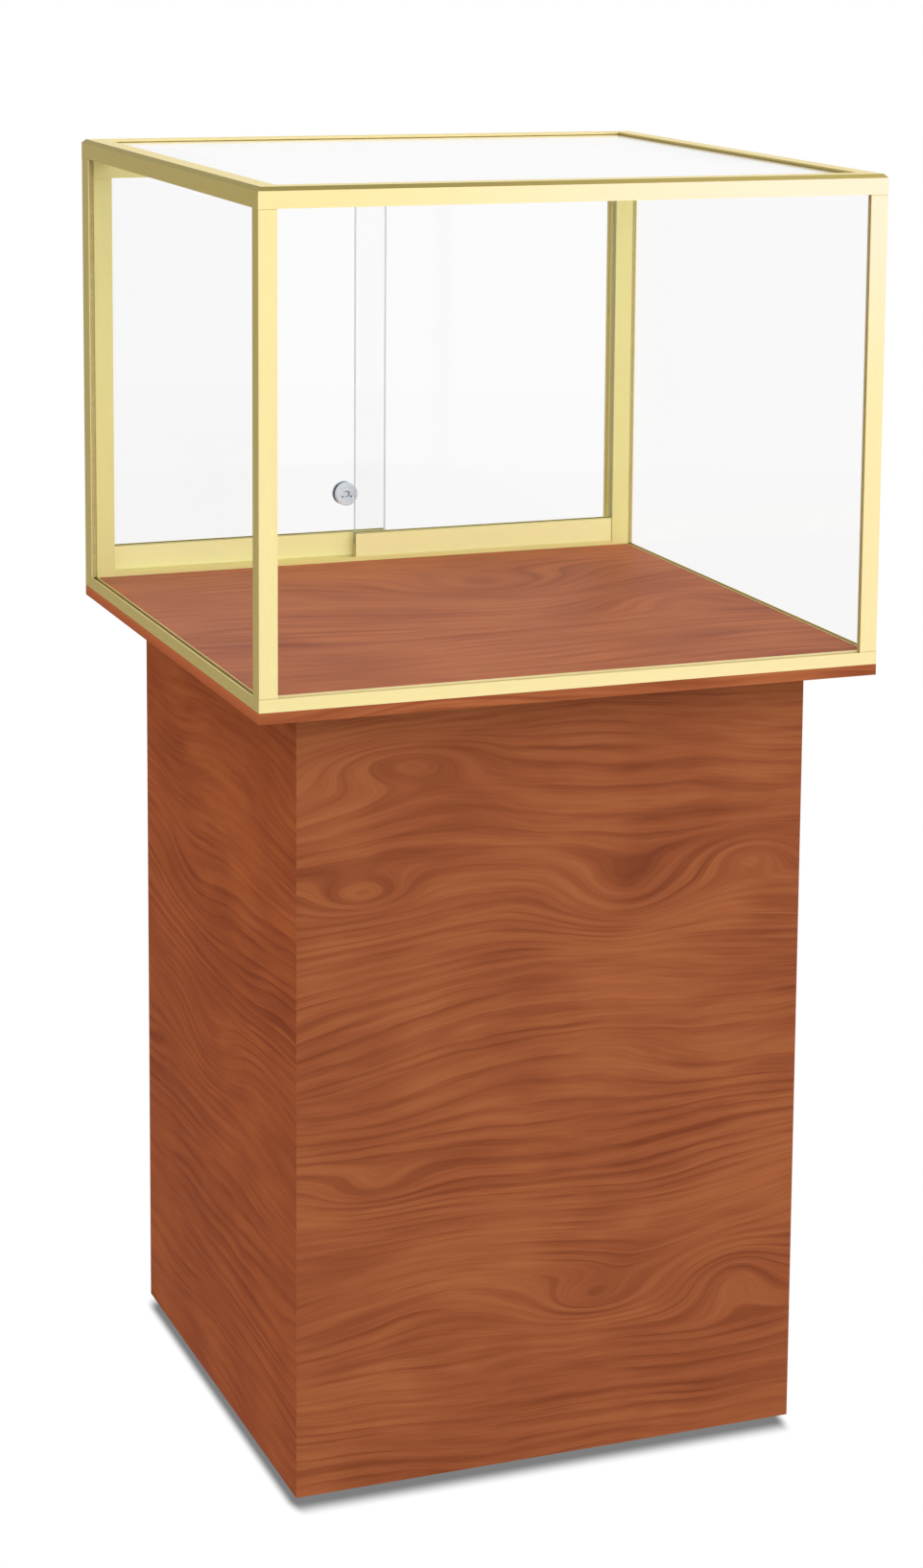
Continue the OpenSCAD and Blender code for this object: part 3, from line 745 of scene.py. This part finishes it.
@dataclass(frozen=True)
class Board(Finish):
    """Raw particle board and pine inside the box."""

    tint: RGB = linear(205, 180, 140)
    chips: float = 420.0
    slot: str = "carcass_board"

    def draw(self, g: Graph) -> None:
        """Writes the nodes.

        Args:
            g: the graph of the new material.
        """
        chips = g.add("ShaderNodeTexVoronoi")
        g.put(chips.inputs["Vector"], g.place())
        g.put(chips.inputs["Scale"], self.chips)
        patches = g.noise(g.place(), 60.0, 3.0, 0.6)
        tone = g.math("MULTIPLY_ADD", patches, 0.5, chips.outputs["Distance"])
        dark, bright = scaled(self.tint, 0.55), scaled(self.tint, 1.15)
        colour = g.ramp(tone, [(0.2, dark), (0.6, self.tint), (1.0, bright)])
        g.out(g.surface(Base_Color=colour, Roughness=0.85, Normal=g.bump(tone, 0.3, 0.0003)))


@dataclass(frozen=True)
class Glass(Finish):
    """Clear float glass drawn as thin sheets, pale green on the ground edges.

    face is the way that the sheet's two large faces look. shine is the share
    of the mirror image that they keep, and solid is how much of what lies
    behind a ground edge it hides.
    """

    face: Axis
    shine: float = 0.22
    blur: float = 0.02
    solid: float = 0.85
    index: float = 1.5
    dim: float = 0.987
    edge: RGB = linear(222, 238, 232)
    edge_light: RGB = (0.86, 0.92, 0.90)
    slot: str = "clear_glass"

    def sheet(self, g: Graph) -> Socket:
        """Draws the large faces.

        Args:
            g: the graph of the new material.

        Returns:
            The shader's socket.
        """
        clear = g.plain("ShaderNodeBsdfTransparent", Color=(self.dim, self.dim, self.dim))
        gloss = g.plain("ShaderNodeBsdfGlossy", Color=WHITE, Roughness=self.blur)
        behind = g.add("ShaderNodeNewGeometry").outputs["Backfacing"]
        index = g.math("MULTIPLY_ADD", behind, 1.0 / self.index - self.index, self.index)
        fresnel = g.plain("ShaderNodeFresnel", IOR=index)
        film = g.noise(g.place(), 3.0, 2.0, 0.5)
        mirror = g.math("MULTIPLY", fresnel, g.spread(film, 0.85 * self.shine, self.shine))
        return g.shade(mirror, clear, gloss)

    def rim(self, g: Graph) -> Socket:
        """Draws the ground edges.

        Args:
            g: the graph of the new material.

        Returns:
            The shader's socket.
        """
        ground = g.noise(g.place(), 700.0, 2.0, 0.6)
        edge = g.surface(
            Base_Color=g.mix(g.spread(ground), self.edge, scaled(self.edge, 0.9)),
            Roughness=0.25,
            Specular_IOR_Level=0.5,
        )
        through = g.plain("ShaderNodeBsdfTransparent", Color=self.edge_light)
        return g.shade(self.solid, through, edge)

    def draw(self, g: Graph) -> None:
        """Writes the nodes.

        Args:
            g: the graph of the new material.
        """
        g.out(g.shade(g.facing(self.face), self.rim(g), self.sheet(g)))


@dataclass(frozen=True)
class Vinyl(Finish):
    """Bronze-coloured glazing vinyl with a faint bloom."""

    tint: RGB = linear(128, 113, 60)
    slot: str = "gasket_vinyl"

    def draw(self, g: Graph) -> None:
        """Writes the nodes.

        Args:
            g: the graph of the new material.
        """
        bloom = g.noise(g.place(), 160.0, 3.0, 0.6)
        colour = g.mix(g.fit(bloom, 0.4, 0.8), self.tint, scaled(self.tint, 1.25))
        g.out(g.surface(Base_Color=colour, Roughness=0.55, Normal=g.bump(bloom, 0.1, 0.0001)))


@dataclass(frozen=True)
class Metal(Finish):
    """Turned or plated metal with fine brushing."""

    tint: RGB
    rough: float
    metallic: float
    slot: str

    def draw(self, g: Graph) -> None:
        """Writes the nodes.

        Args:
            g: the graph of the new material.
        """
        x, y, z = g.axes(g.place())
        brush = g.noise(g.vector(x, g.math("MULTIPLY", y, 0.05), z), 3000.0, 2.0, 0.6)
        cloud = g.noise(g.place(), 300.0, 2.0, 0.5)
        g.out(
            g.surface(
                Base_Color=g.mix(g.spread(cloud), self.tint, scaled(self.tint, 0.88)),
                Metallic=self.metallic,
                Roughness=g.spread(brush, self.rough - 0.05, self.rough + 0.06),
                Normal=g.bump(brush, 0.1, 0.00003),
            )
        )


ZINC = Metal((0.55, 0.56, 0.58), 0.32, 1.0, "zinc_steel")
BRASS = Metal((0.55, 0.40, 0.16), 0.3, 1.0, "key_brass")
SATIN_CHROME = Metal(linear(226, 240, 252), 0.40, 0.05, "lock_chrome")


@dataclass(frozen=True)
class Nylon(Finish):
    """White nylon with moulding flow marks."""

    tint: RGB = (0.72, 0.72, 0.68)
    slot: str = "wheel_nylon"

    def draw(self, g: Graph) -> None:
        """Writes the nodes.

        Args:
            g: the graph of the new material.
        """
        flow = g.noise(g.place(), 240.0, 3.0, 0.6, 1.0)
        g.out(
            g.surface(
                Base_Color=g.mix(g.spread(flow), self.tint, scaled(self.tint, 0.9)),
                Roughness=0.4,
                Subsurface_Weight=0.1,
                Normal=g.bump(flow, 0.1, 0.0001),
            )
        )


@dataclass(frozen=True)
class Ground(Finish):
    """White studio floor with a painted contact shadow, worked out from the pedestal's foot
    instead of cast.

    The shadow lies round the pedestal's square foot, half its side being
    half. The other lengths are how far it fades to the sides and to the
    front, how far it stops short at the back and at the front right corner,
    and how far it reaches out on the right. All are in metres.
    """

    half: float = 0.254
    depth: float = 0.79
    fade_aside: float = 0.0142
    fade_ahead: float = 0.0385
    short_back: float = 0.045
    short_right: float = 0.018
    past_right: float = 0.004
    matte: RGB = (0.44, 0.44, 0.44)
    left_mirror: float = 0.4
    right_mirror: float = 0.95

    def shadow(self, g: Graph, x: Socket, y: Socket) -> Socket:
        """Paints the contact shadow, worked out from the pedestal's foot.

        Args:
            g: the graph of the new material.
            x: place to the right.
            y: place to the rear.

        Returns:
            The socket of the light that is left, 1 in the open.
        """
        right = g.fit(y, -0.26, -0.10, self.half - self.short_right, self.half + self.past_right)
        aside = g.math(
            "MAXIMUM", g.math("SUBTRACT", -self.half, x), g.math("SUBTRACT", x, right)
        )
        back = self.half - self.short_back
        ahead = g.math(
            "MAXIMUM", g.math("SUBTRACT", -self.half, y), g.math("SUBTRACT", y, back)
        )
        aside = g.math("MULTIPLY", g.math("MAXIMUM", aside, 0.0), 1.0 / self.fade_aside)
        ahead = g.math("MULTIPLY", g.math("MAXIMUM", ahead, 0.0), 1.0 / self.fade_ahead)
        square = g.math("MULTIPLY_ADD", aside, aside, g.math("MULTIPLY", ahead, ahead))
        return g.fit(g.math("SQRT", square), 0.25, 1.0, 1.0 - self.depth, 1.0)

    def draw(self, g: Graph) -> None:
        """Writes the nodes.

        Args:
            g: the graph of the new material.
        """
        x, y, _ = g.axes(g.place())
        # Painted shadow, seen by the camera and through glass.
        shadow = self.shadow(g, x, y)
        grain = g.spread(g.noise(g.place(), 40.0, 2.0, 0.5), 0.99, 1.0)
        level = g.math("MULTIPLY", shadow, g.math("MAXIMUM", grain, shadow))
        seen = g.plain("ShaderNodeEmission", Color=g.vector(level, level, level), Strength=1.0)
        matte = g.plain("ShaderNodeBsdfDiffuse", Color=self.matte)
        tone = g.fit(x, -2.5, 0.5, self.left_mirror, self.right_mirror)
        mirror = g.plain("ShaderNodeEmission", Color=WHITE, Strength=tone)
        path = g.add("ShaderNodeLightPath")
        rest = g.shade(path.outputs[Rays.GLOSSY.value], matte, mirror)
        g.out(g.shade(g.sees_backdrop(path), rest, seen))


@dataclass
class Assembly:
    """A group of CAD nodes that get their finishes together."""

    frame: dict
    shown: list[str] = field(default_factory=list)
    bevel_angle: float = math.radians(40)

    def facet(self, node: str) -> None:
        """Shades a node's faces flat, so that its edges stay crisp.

        Args:
            node: the CAD node.
        """
        for polygon in self.frame["nodes"][node].data.polygons:
            polygon.use_smooth = False

    def dress(self, node: str, finish: Finish, name: str, bevel: float = 0.0) -> None:
        """Gives a CAD node its finish and, if asked, fine edge rounding.

        Args:
            node: the CAD node.
            finish: what it is made of.
            name: the material's name.
            bevel: width of the rounding in metres, 0 for none.
        """
        piece = self.frame["nodes"][node]
        piece.data.materials.clear()
        piece.data.materials.append(finish.make(name))
        if bevel > 0:
            self.facet(node)
            rounding = piece.modifiers.new("edge_rounding", "BEVEL")
            rounding.width = bevel
            rounding.segments = 2
            rounding.limit_method = "ANGLE"
            rounding.angle_limit = self.bevel_angle
            rounding.use_clamp_overlap = True
        self.shown.append(node)
        LOG.info("%s: %s", node, name)


@dataclass
class Pedestal(Assembly):
    """The laminated box with the board on top."""

    front_eyes: tuple[Eye, ...] = (
        Eye(-0.19, 0.575, 0.045, 0.016, 0.030),
        Eye(0.07, 0.545, 0.075, 0.040, 0.055),
        Eye(0.20, 0.580, 0.050, 0.022, -0.030),
        Eye(-0.16, 0.700, 0.080, 0.022, -0.034),
        Eye(0.04, 0.150, 0.060, 0.022, 0.032),
        Eye(0.19, 0.160, 0.060, 0.035, -0.048),
        Eye(-0.18, 0.290, 0.060, 0.020, 0.026),
    )
    side_eyes: tuple[Eye, ...] = (Eye(0.02, 0.36, 0.11, 0.045, 0.05),)

    def build(self) -> None:
        """Dresses the panels, the board and what holds them."""
        front = Laminate(Axis.X, Axis.Z, Axis.Y, 3.1, eyes=self.front_eyes)
        side = Laminate(Axis.Y, Axis.Z, Axis.X, 8.4, gloss=0.008, eyes=self.side_eyes)
        # Painted light: the edging's faces to the left and right are made lighter still.
        edging = Laminate(
            Axis.X, Axis.Z, None, 5.0, gloss=0.03, lift=1.15, side=(1.7, 1.45, 1.1)
        )
        self.dress("pedestal_front", front, "laminate_front")
        self.dress("pedestal_rear", front, "laminate_front")
        self.dress("pedestal_left", side, "laminate_side")
        self.dress("pedestal_right", side, "laminate_side")
        self.dress("board_edging", edging, "laminate_edging")
        for node in ("pedestal_top", "pedestal_base", "base_board"):
            self.dress(node, Board(), "particle_board")
        pine = Board(linear(214, 186, 140))
        for node in ("cleat_fl", "cleat_fr", "cleat_rl", "cleat_rr"):
            self.dress(node, pine, "pine")
        for node in ("cleat_screws", "board_screws"):
            self.dress(node, ZINC, "zinc_steel")


@dataclass
class CaseFrame(Assembly):
    """Rails, posts, jambs, track, header and the floor inside.

    joints are the heights where the posts meet the rails.
    """

    bevel: float = 0.0005
    joints: tuple[float, float] = (0.7792, 1.2122)
    deck_eyes: tuple[Eye, ...] = (
        Eye(0.07, 0.10, 0.13, 0.07, 0.10),
        Eye(0.22, 0.00, 0.09, 0.06, -0.07),
    )

    def extrusion(self, node: str, axis: Axis) -> None:
        """Dresses one extrusion.

        Args:
            node: the CAD node.
            axis: the way it runs.
        """
        seams = self.joints if node.startswith("post") else ()
        if node.startswith(("jamb", "door")):
            # Painted light: jambs and doors get a gold whose faces to the left and right are
            # made a little lighter instead of darker, against the shade inside the case.
            inner = linear(243, 233, 155)
            finish = Gold(axis, 0.1, tint=inner, side=(1.04, 1.06, 1.02))
            name = "gold_inner"
        elif node.endswith(("front", "fl", "fr", "top_rail_right")):
            # Front pieces get the painted highlight.
            finish = Gold(axis, painted_highlight=1.0, seams=seams)
            name = "gold_front"
        else:
            finish = Gold(axis, seams=seams)
            name = "gold"
        self.dress(node, finish, f"{name}_{axis.name.lower()}", self.bevel)

    def build(self) -> None:
        """Dresses the extrusions by the way they run, and the deck."""
        runs = {
            Axis.X: (
                "base_rail_front",
                "base_rail_rear",
                "top_rail_front",
                "top_rail_rear",
                "door_track",
                "door_header",
            ),
            Axis.Y: ("base_rail_left", "base_rail_right", "top_rail_left", "top_rail_right"),
            Axis.Z: ("post_fl", "post_fr", "post_rl", "post_rr", "jamb_left", "jamb_right"),
        }
        for axis, nodes in runs.items():
            for node in nodes:
                self.extrusion(node, axis)
        # Painted light: lift makes the deck lighter, standing in for light from above.
        deck = Laminate(
            Axis.X,
            Axis.Y,
            Axis.Z,
            12.7,
            gloss=0.02,
            lift=1.37,
            rings=46.0,
            contrast=0.98,
            eyes=self.deck_eyes,
        )
        self.dress("display_deck", deck, "laminate_deck")
        for node in ("corner_keys", "post_pins", "frame_screws"):
            self.dress(node, ZINC, "zinc_steel")


@dataclass
class PaneLips:
    """The lips of the vinyl channels, as they show through the panes' edges.

    low and high are the channels' ends, half is half the case's width, near
    and far are the lip's two sides from the case's outside, rear and front
    how far the mouths of the pockets lie inside it, and deep is the lip's
    thickness. profile is the lip's section, u across it and v into it.
    """

    low: float = 0.7791
    high: float = 1.2123
    half: float = 0.3048
    near: float = 0.00125
    far: float = 0.00535
    rear: float = 0.0250
    front: float = 0.0173
    deep: float = 0.001
    # Partly painted light: the lips are vinyl, but coloured lighter than the glazing vinyl so
    # that the shaded pocket mouths look lit.
    tint: RGB = linear(190, 174, 112)
    profile: tuple[tuple[float, float], ...] = (
        (0.0, 0.0),
        (1.0, 0.0),
        (1.0, 0.8),
        (0.94, 1.0),
        (0.6, 1.0),
        (0.5, 0.7),
        (0.4, 1.0),
        (0.06, 1.0),
        (0.0, 0.8),
    )

    def strip(
        self, work: bmesh.types.BMesh, side: float, along: Axis, at: float, toward: float
    ) -> None:
        """Adds one upright strip.

        Args:
            work: the mesh.
            side: -1 for the left half of the case, 1 for the right.
            along: the way its pane runs.
            at: place of the mouth along the pane.
            toward: the way the lip looks out of the mouth, -1 or 1.
        """
        rings = []
        for z in (self.low, self.high):
            ring = []
            for u, v in self.profile:
                across = self.half - self.near - u * (self.far - self.near)
                mouth = at + toward * (v - 1.0) * self.deep
                if along is Axis.X:
                    ring.append(work.verts.new((side * across, mouth, z)))
                else:
                    ring.append(work.verts.new((side * mouth, -across, z)))
            rings.append(ring)
        bottom, top = rings
        for i in range(len(bottom)):
            j = (i + 1) % len(bottom)
            work.faces.new((bottom[i], bottom[j], top[j], top[i]))
        work.faces.new(bottom[::-1])
        work.faces.new(top)

    def build(self) -> None:
        """Adds the six strips as one piece that rides on the case."""
        rear, front = self.half - self.rear, self.half - self.front
        mouths = ((Axis.X, rear, -1.0), (Axis.X, -front, 1.0), (Axis.Y, front, -1.0))
        work = bmesh.new()
        for side in (-1.0, 1.0):
            for along, at, toward in mouths:
                self.strip(work, side, along, at, toward)
        bmesh.ops.recalc_face_normals(work, faces=work.faces)
        mesh = bpy.data.meshes.new("pane_lips")
        work.to_mesh(mesh)
        work.free()
        piece = bpy.data.objects.new("pane_lips", mesh)
        bpy.context.scene.collection.objects.link(piece)
        lip = Vinyl(self.tint)
        mesh.materials.append(lip.make("pane_lip_vinyl"))
        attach(piece, "case")
        LOG.info("pane_lips: pane_lip_vinyl")


@dataclass
class Glazing(Assembly):
    """The fixed panes, the top pane's gasket, the setting strips and the lips."""

    def build(self) -> None:
        """Dresses each pane by the way it faces."""
        upright = Glass(Axis.Y)
        side = Glass(Axis.X, shine=0.12)
        top = Glass(Axis.Z, shine=1.7, blur=0.14)
        for node, glass in (
            ("pane_front", upright),
            ("pane_left", side),
            ("pane_right", side),
            ("pane_top", top),
        ):
            self.dress(node, glass, f"glass_{glass.face.name.lower()}")
        for node in ("top_gasket", "setting_strips"):
            self.dress(node, Vinyl(), "glazing_vinyl")
        PaneLips().build()


@dataclass
class DoorGear(Assembly):
    """Both sliding doors with shoes, vinyl, pins and wheels."""

    shoe_bevel: float = 0.0002

    def build(self) -> None:
        """Dresses the two doors alike."""
        # Painted light: the shoes' gold is lighter than the frame's, against the shade inside
        # the case.
        shoe = Gold(Axis.X, 0.0, tint=linear(255, 249, 180))
        for door in ("inner", "outer"):
            self.dress(f"{door}_glass", Glass(Axis.Y, solid=0.5), "glass_door")
            self.dress(f"{door}_shoe", shoe, "gold_shoe", self.shoe_bevel)
            self.dress(f"{door}_vinyl", Vinyl(), "glazing_vinyl")
            self.dress(f"{door}_axles", ZINC, "zinc_steel")
            for end in ("l", "r"):
                self.dress(f"wheel_{door}_{end}", Nylon(), "white_nylon")


@dataclass
class DoorLock(Assembly):
    """The push lock on the outer door."""

    def build(self) -> None:
        """Dresses the lock's pieces, all but the washers with crisp edges."""
        for node in ("lock_barrel", "lock_nut", "lock_plunger"):
            self.dress(node, SATIN_CHROME, "satin_chrome")
            self.facet(node)
        self.dress("lock_key_plug", BRASS, "key_brass")
        self.facet("lock_key_plug")
        self.dress("lock_washers", Vinyl(linear(112, 118, 134)), "washer_vinyl")
        self.dress("lock_spring", ZINC, "zinc_steel")
        self.facet("lock_spring")


@dataclass
class Viewpoint:
    """The camera, fitted to the photograph's edges.

    focal is in pixels of a picture of wide x tall pixels, and centre is the
    point in it that lies straight ahead. turn is a rotation vector from the
    case's axes to right, down and ahead.
    """

    wide: float = 962.0
    tall: float = 1635.0
    focal: float = 3564.62
    centre: tuple[float, float] = (585.44, 450.0)
    film: float = 36.0
    near: float = 0.05
    far: float = 60.0
    turn: tuple[float, float, float] = (1.70309, -0.32448, 0.29553)
    stand: tuple[float, float, float] = (-1.17363, -3.12335, 1.47776)

    def build(self) -> None:
        """Adds the camera."""
        data = bpy.data.cameras.new("camera")
        data.sensor_width = self.film
        data.lens = self.focal / self.tall * self.film
        data.shift_x = -(self.centre[0] - self.wide / 2.0) / self.tall
        data.shift_y = (self.centre[1] - self.tall / 2.0) / self.tall
        data.clip_start = self.near
        data.clip_end = self.far
        camera = bpy.data.objects.new("camera", data)
        bpy.context.scene.collection.objects.link(camera)
        turn = Vector(self.turn)
        right, down, ahead = Matrix.Rotation(turn.length, 3, turn.normalized())
        pose = Matrix((right, -down, -ahead)).transposed().to_4x4()
        pose.translation = Vector(self.stand)
        camera.matrix_world = pose
        bpy.context.scene.camera = camera
        LOG.info("camera")


@dataclass
class Studio:
    """Floor and light. None of it belongs to the object.

    sky and above are the soft light's levels at the horizon and overhead,
    front is the strength of its broad lobe from key_from. horizon, zenith
    and left are the levels of what shiny surfaces mirror.
    """

    sky: float = 0.56
    above: float = 0.88
    front: float = 2.3
    key_from: tuple[float, float, float] = (0.12, -0.90, 0.42)
    key_narrow: float = 8.0
    horizon: float = 0.96
    zenith: float = 0.5
    left: float = 0.4
    lamp_at: tuple[float, float, float] = (1.6, -3.4, 1.6)
    lamp_to: tuple[float, float, float] = (0.0, 0.0, 0.7)
    lamp_size: float = 2.6
    lamp_watts: float = 14.0
    floor_half: float = 6.0
    floor_gap: float = 0.0005

    def floor(self) -> None:
        """Adds the white floor, a hair under the pedestal."""
        mesh = bpy.data.meshes.new("floor")
        work = bmesh.new()
        bmesh.ops.create_grid(work, x_segments=8, y_segments=8, size=self.floor_half)
        work.to_mesh(mesh)
        work.free()
        piece = bpy.data.objects.new("floor", mesh)
        bpy.context.scene.collection.objects.link(piece)
        piece.location = (0.0, 0.0, -self.floor_gap)
        mesh.materials.append(Ground().make("studio_floor"))
        LOG.info("floor")

    def light_level(self, g: Graph, x: Socket, y: Socket, z: Socket) -> Socket:
        """Finds the soft light that comes from a direction.

        Args:
            g: the world's graph.
            x: the direction's first part.
            y: the direction's second part.
            z: the direction's third part.

        Returns:
            The level's socket.
        """
        key = Vector(self.key_from).normalized()
        lobe = g.math("MULTIPLY", x, key.x)
        lobe = g.math("MULTIPLY_ADD", y, key.y, lobe)
        lobe = g.math("MAXIMUM", g.math("MULTIPLY_ADD", z, key.z, lobe), 0.0)
        dome = g.fit(z, 0.0, 0.9, self.sky, self.above)
        return g.math("MULTIPLY_ADD", g.math("POWER", lobe, self.key_narrow), self.front, dome)

    def mirror_level(self, g: Graph, x: Socket, z: Socket) -> Socket:
        """Finds what a shiny surface mirrors in a direction.

        Args:
            g: the world's graph.
            x: the direction's first part.
            z: the direction's third part.

        Returns:
            The level's socket.
        """
        aside = g.math("MAXIMUM", g.fit(x, -0.45, 0.1, self.left, 1.0), g.fit(z, 0.05, 0.2))
        return g.math("MULTIPLY", g.fit(z, 0.3, 0.85, self.horizon, self.zenith), aside)

    def sky_light(self) -> None:
        """Sets a white backdrop and the soft light round the object."""
        world = bpy.data.worlds.new("studio")
        world.use_nodes = True
        bpy.context.scene.world = world
        g = Graph(world.node_tree)
        x, y, z = g.axes(g.add("ShaderNodeTexCoord").outputs["Generated"])
        kind = "ShaderNodeBackground"
        even = g.plain(kind, Color=WHITE, Strength=self.light_level(g, x, y, z))
        shown = g.plain(kind, Color=WHITE, Strength=self.mirror_level(g, x, z))
        white = g.plain(kind, Color=WHITE)
        path = g.add("ShaderNodeLightPath")
        both = g.shade(path.outputs[Rays.GLOSSY.value], even, shown)
        g.out(g.shade(g.sees_backdrop(path), both, white), "ShaderNodeOutputWorld")

    def lamp(self) -> None:
        """Adds a square soft box in front, on the right."""
        at, to = Vector(self.lamp_at), Vector(self.lamp_to)
        data = bpy.data.lights.new("key_light", "AREA")
        data.shape = "SQUARE"
        data.size = self.lamp_size
        data.energy = self.lamp_watts
        lamp = bpy.data.objects.new("key_light", data)
        bpy.context.scene.collection.objects.link(lamp)
        lamp.location = at
        lamp.rotation_mode = "QUATERNION"
        lamp.rotation_quaternion = (to - at).to_track_quat("-Z", "Y")
        LOG.info("lamp key_light")

    def build(self) -> None:
        """Sets up the studio and how light passes through the panes."""
        cycles = bpy.context.scene.cycles
        cycles.transparent_max_bounces = 48
        cycles.diffuse_bounces = 6
        bpy.context.scene.view_settings.view_transform = "Standard"
        self.floor()
        self.sky_light()
        self.lamp()


@dataclass
class Case:
    """The whole display case."""

    frame: dict

    def build(self) -> None:
        """Dresses every part of the case."""
        done: list[str] = []
        for group in (Pedestal, CaseFrame, Glazing, DoorGear, DoorLock):
            part = group(self.frame)
            part.build()
            done += part.shown
        left = sorted(set(self.frame["nodes"]) - set(done))
        if left:
            LOG.warning("no finish on %s", left)


def main() -> None:
    """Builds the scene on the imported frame."""
    logging.basicConfig(level=logging.INFO, format="%(name)s: %(message)s")
    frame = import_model()
    Case(frame).build()
    Studio().build()
    Viewpoint().build()


if __name__ == "__main__":
    main()
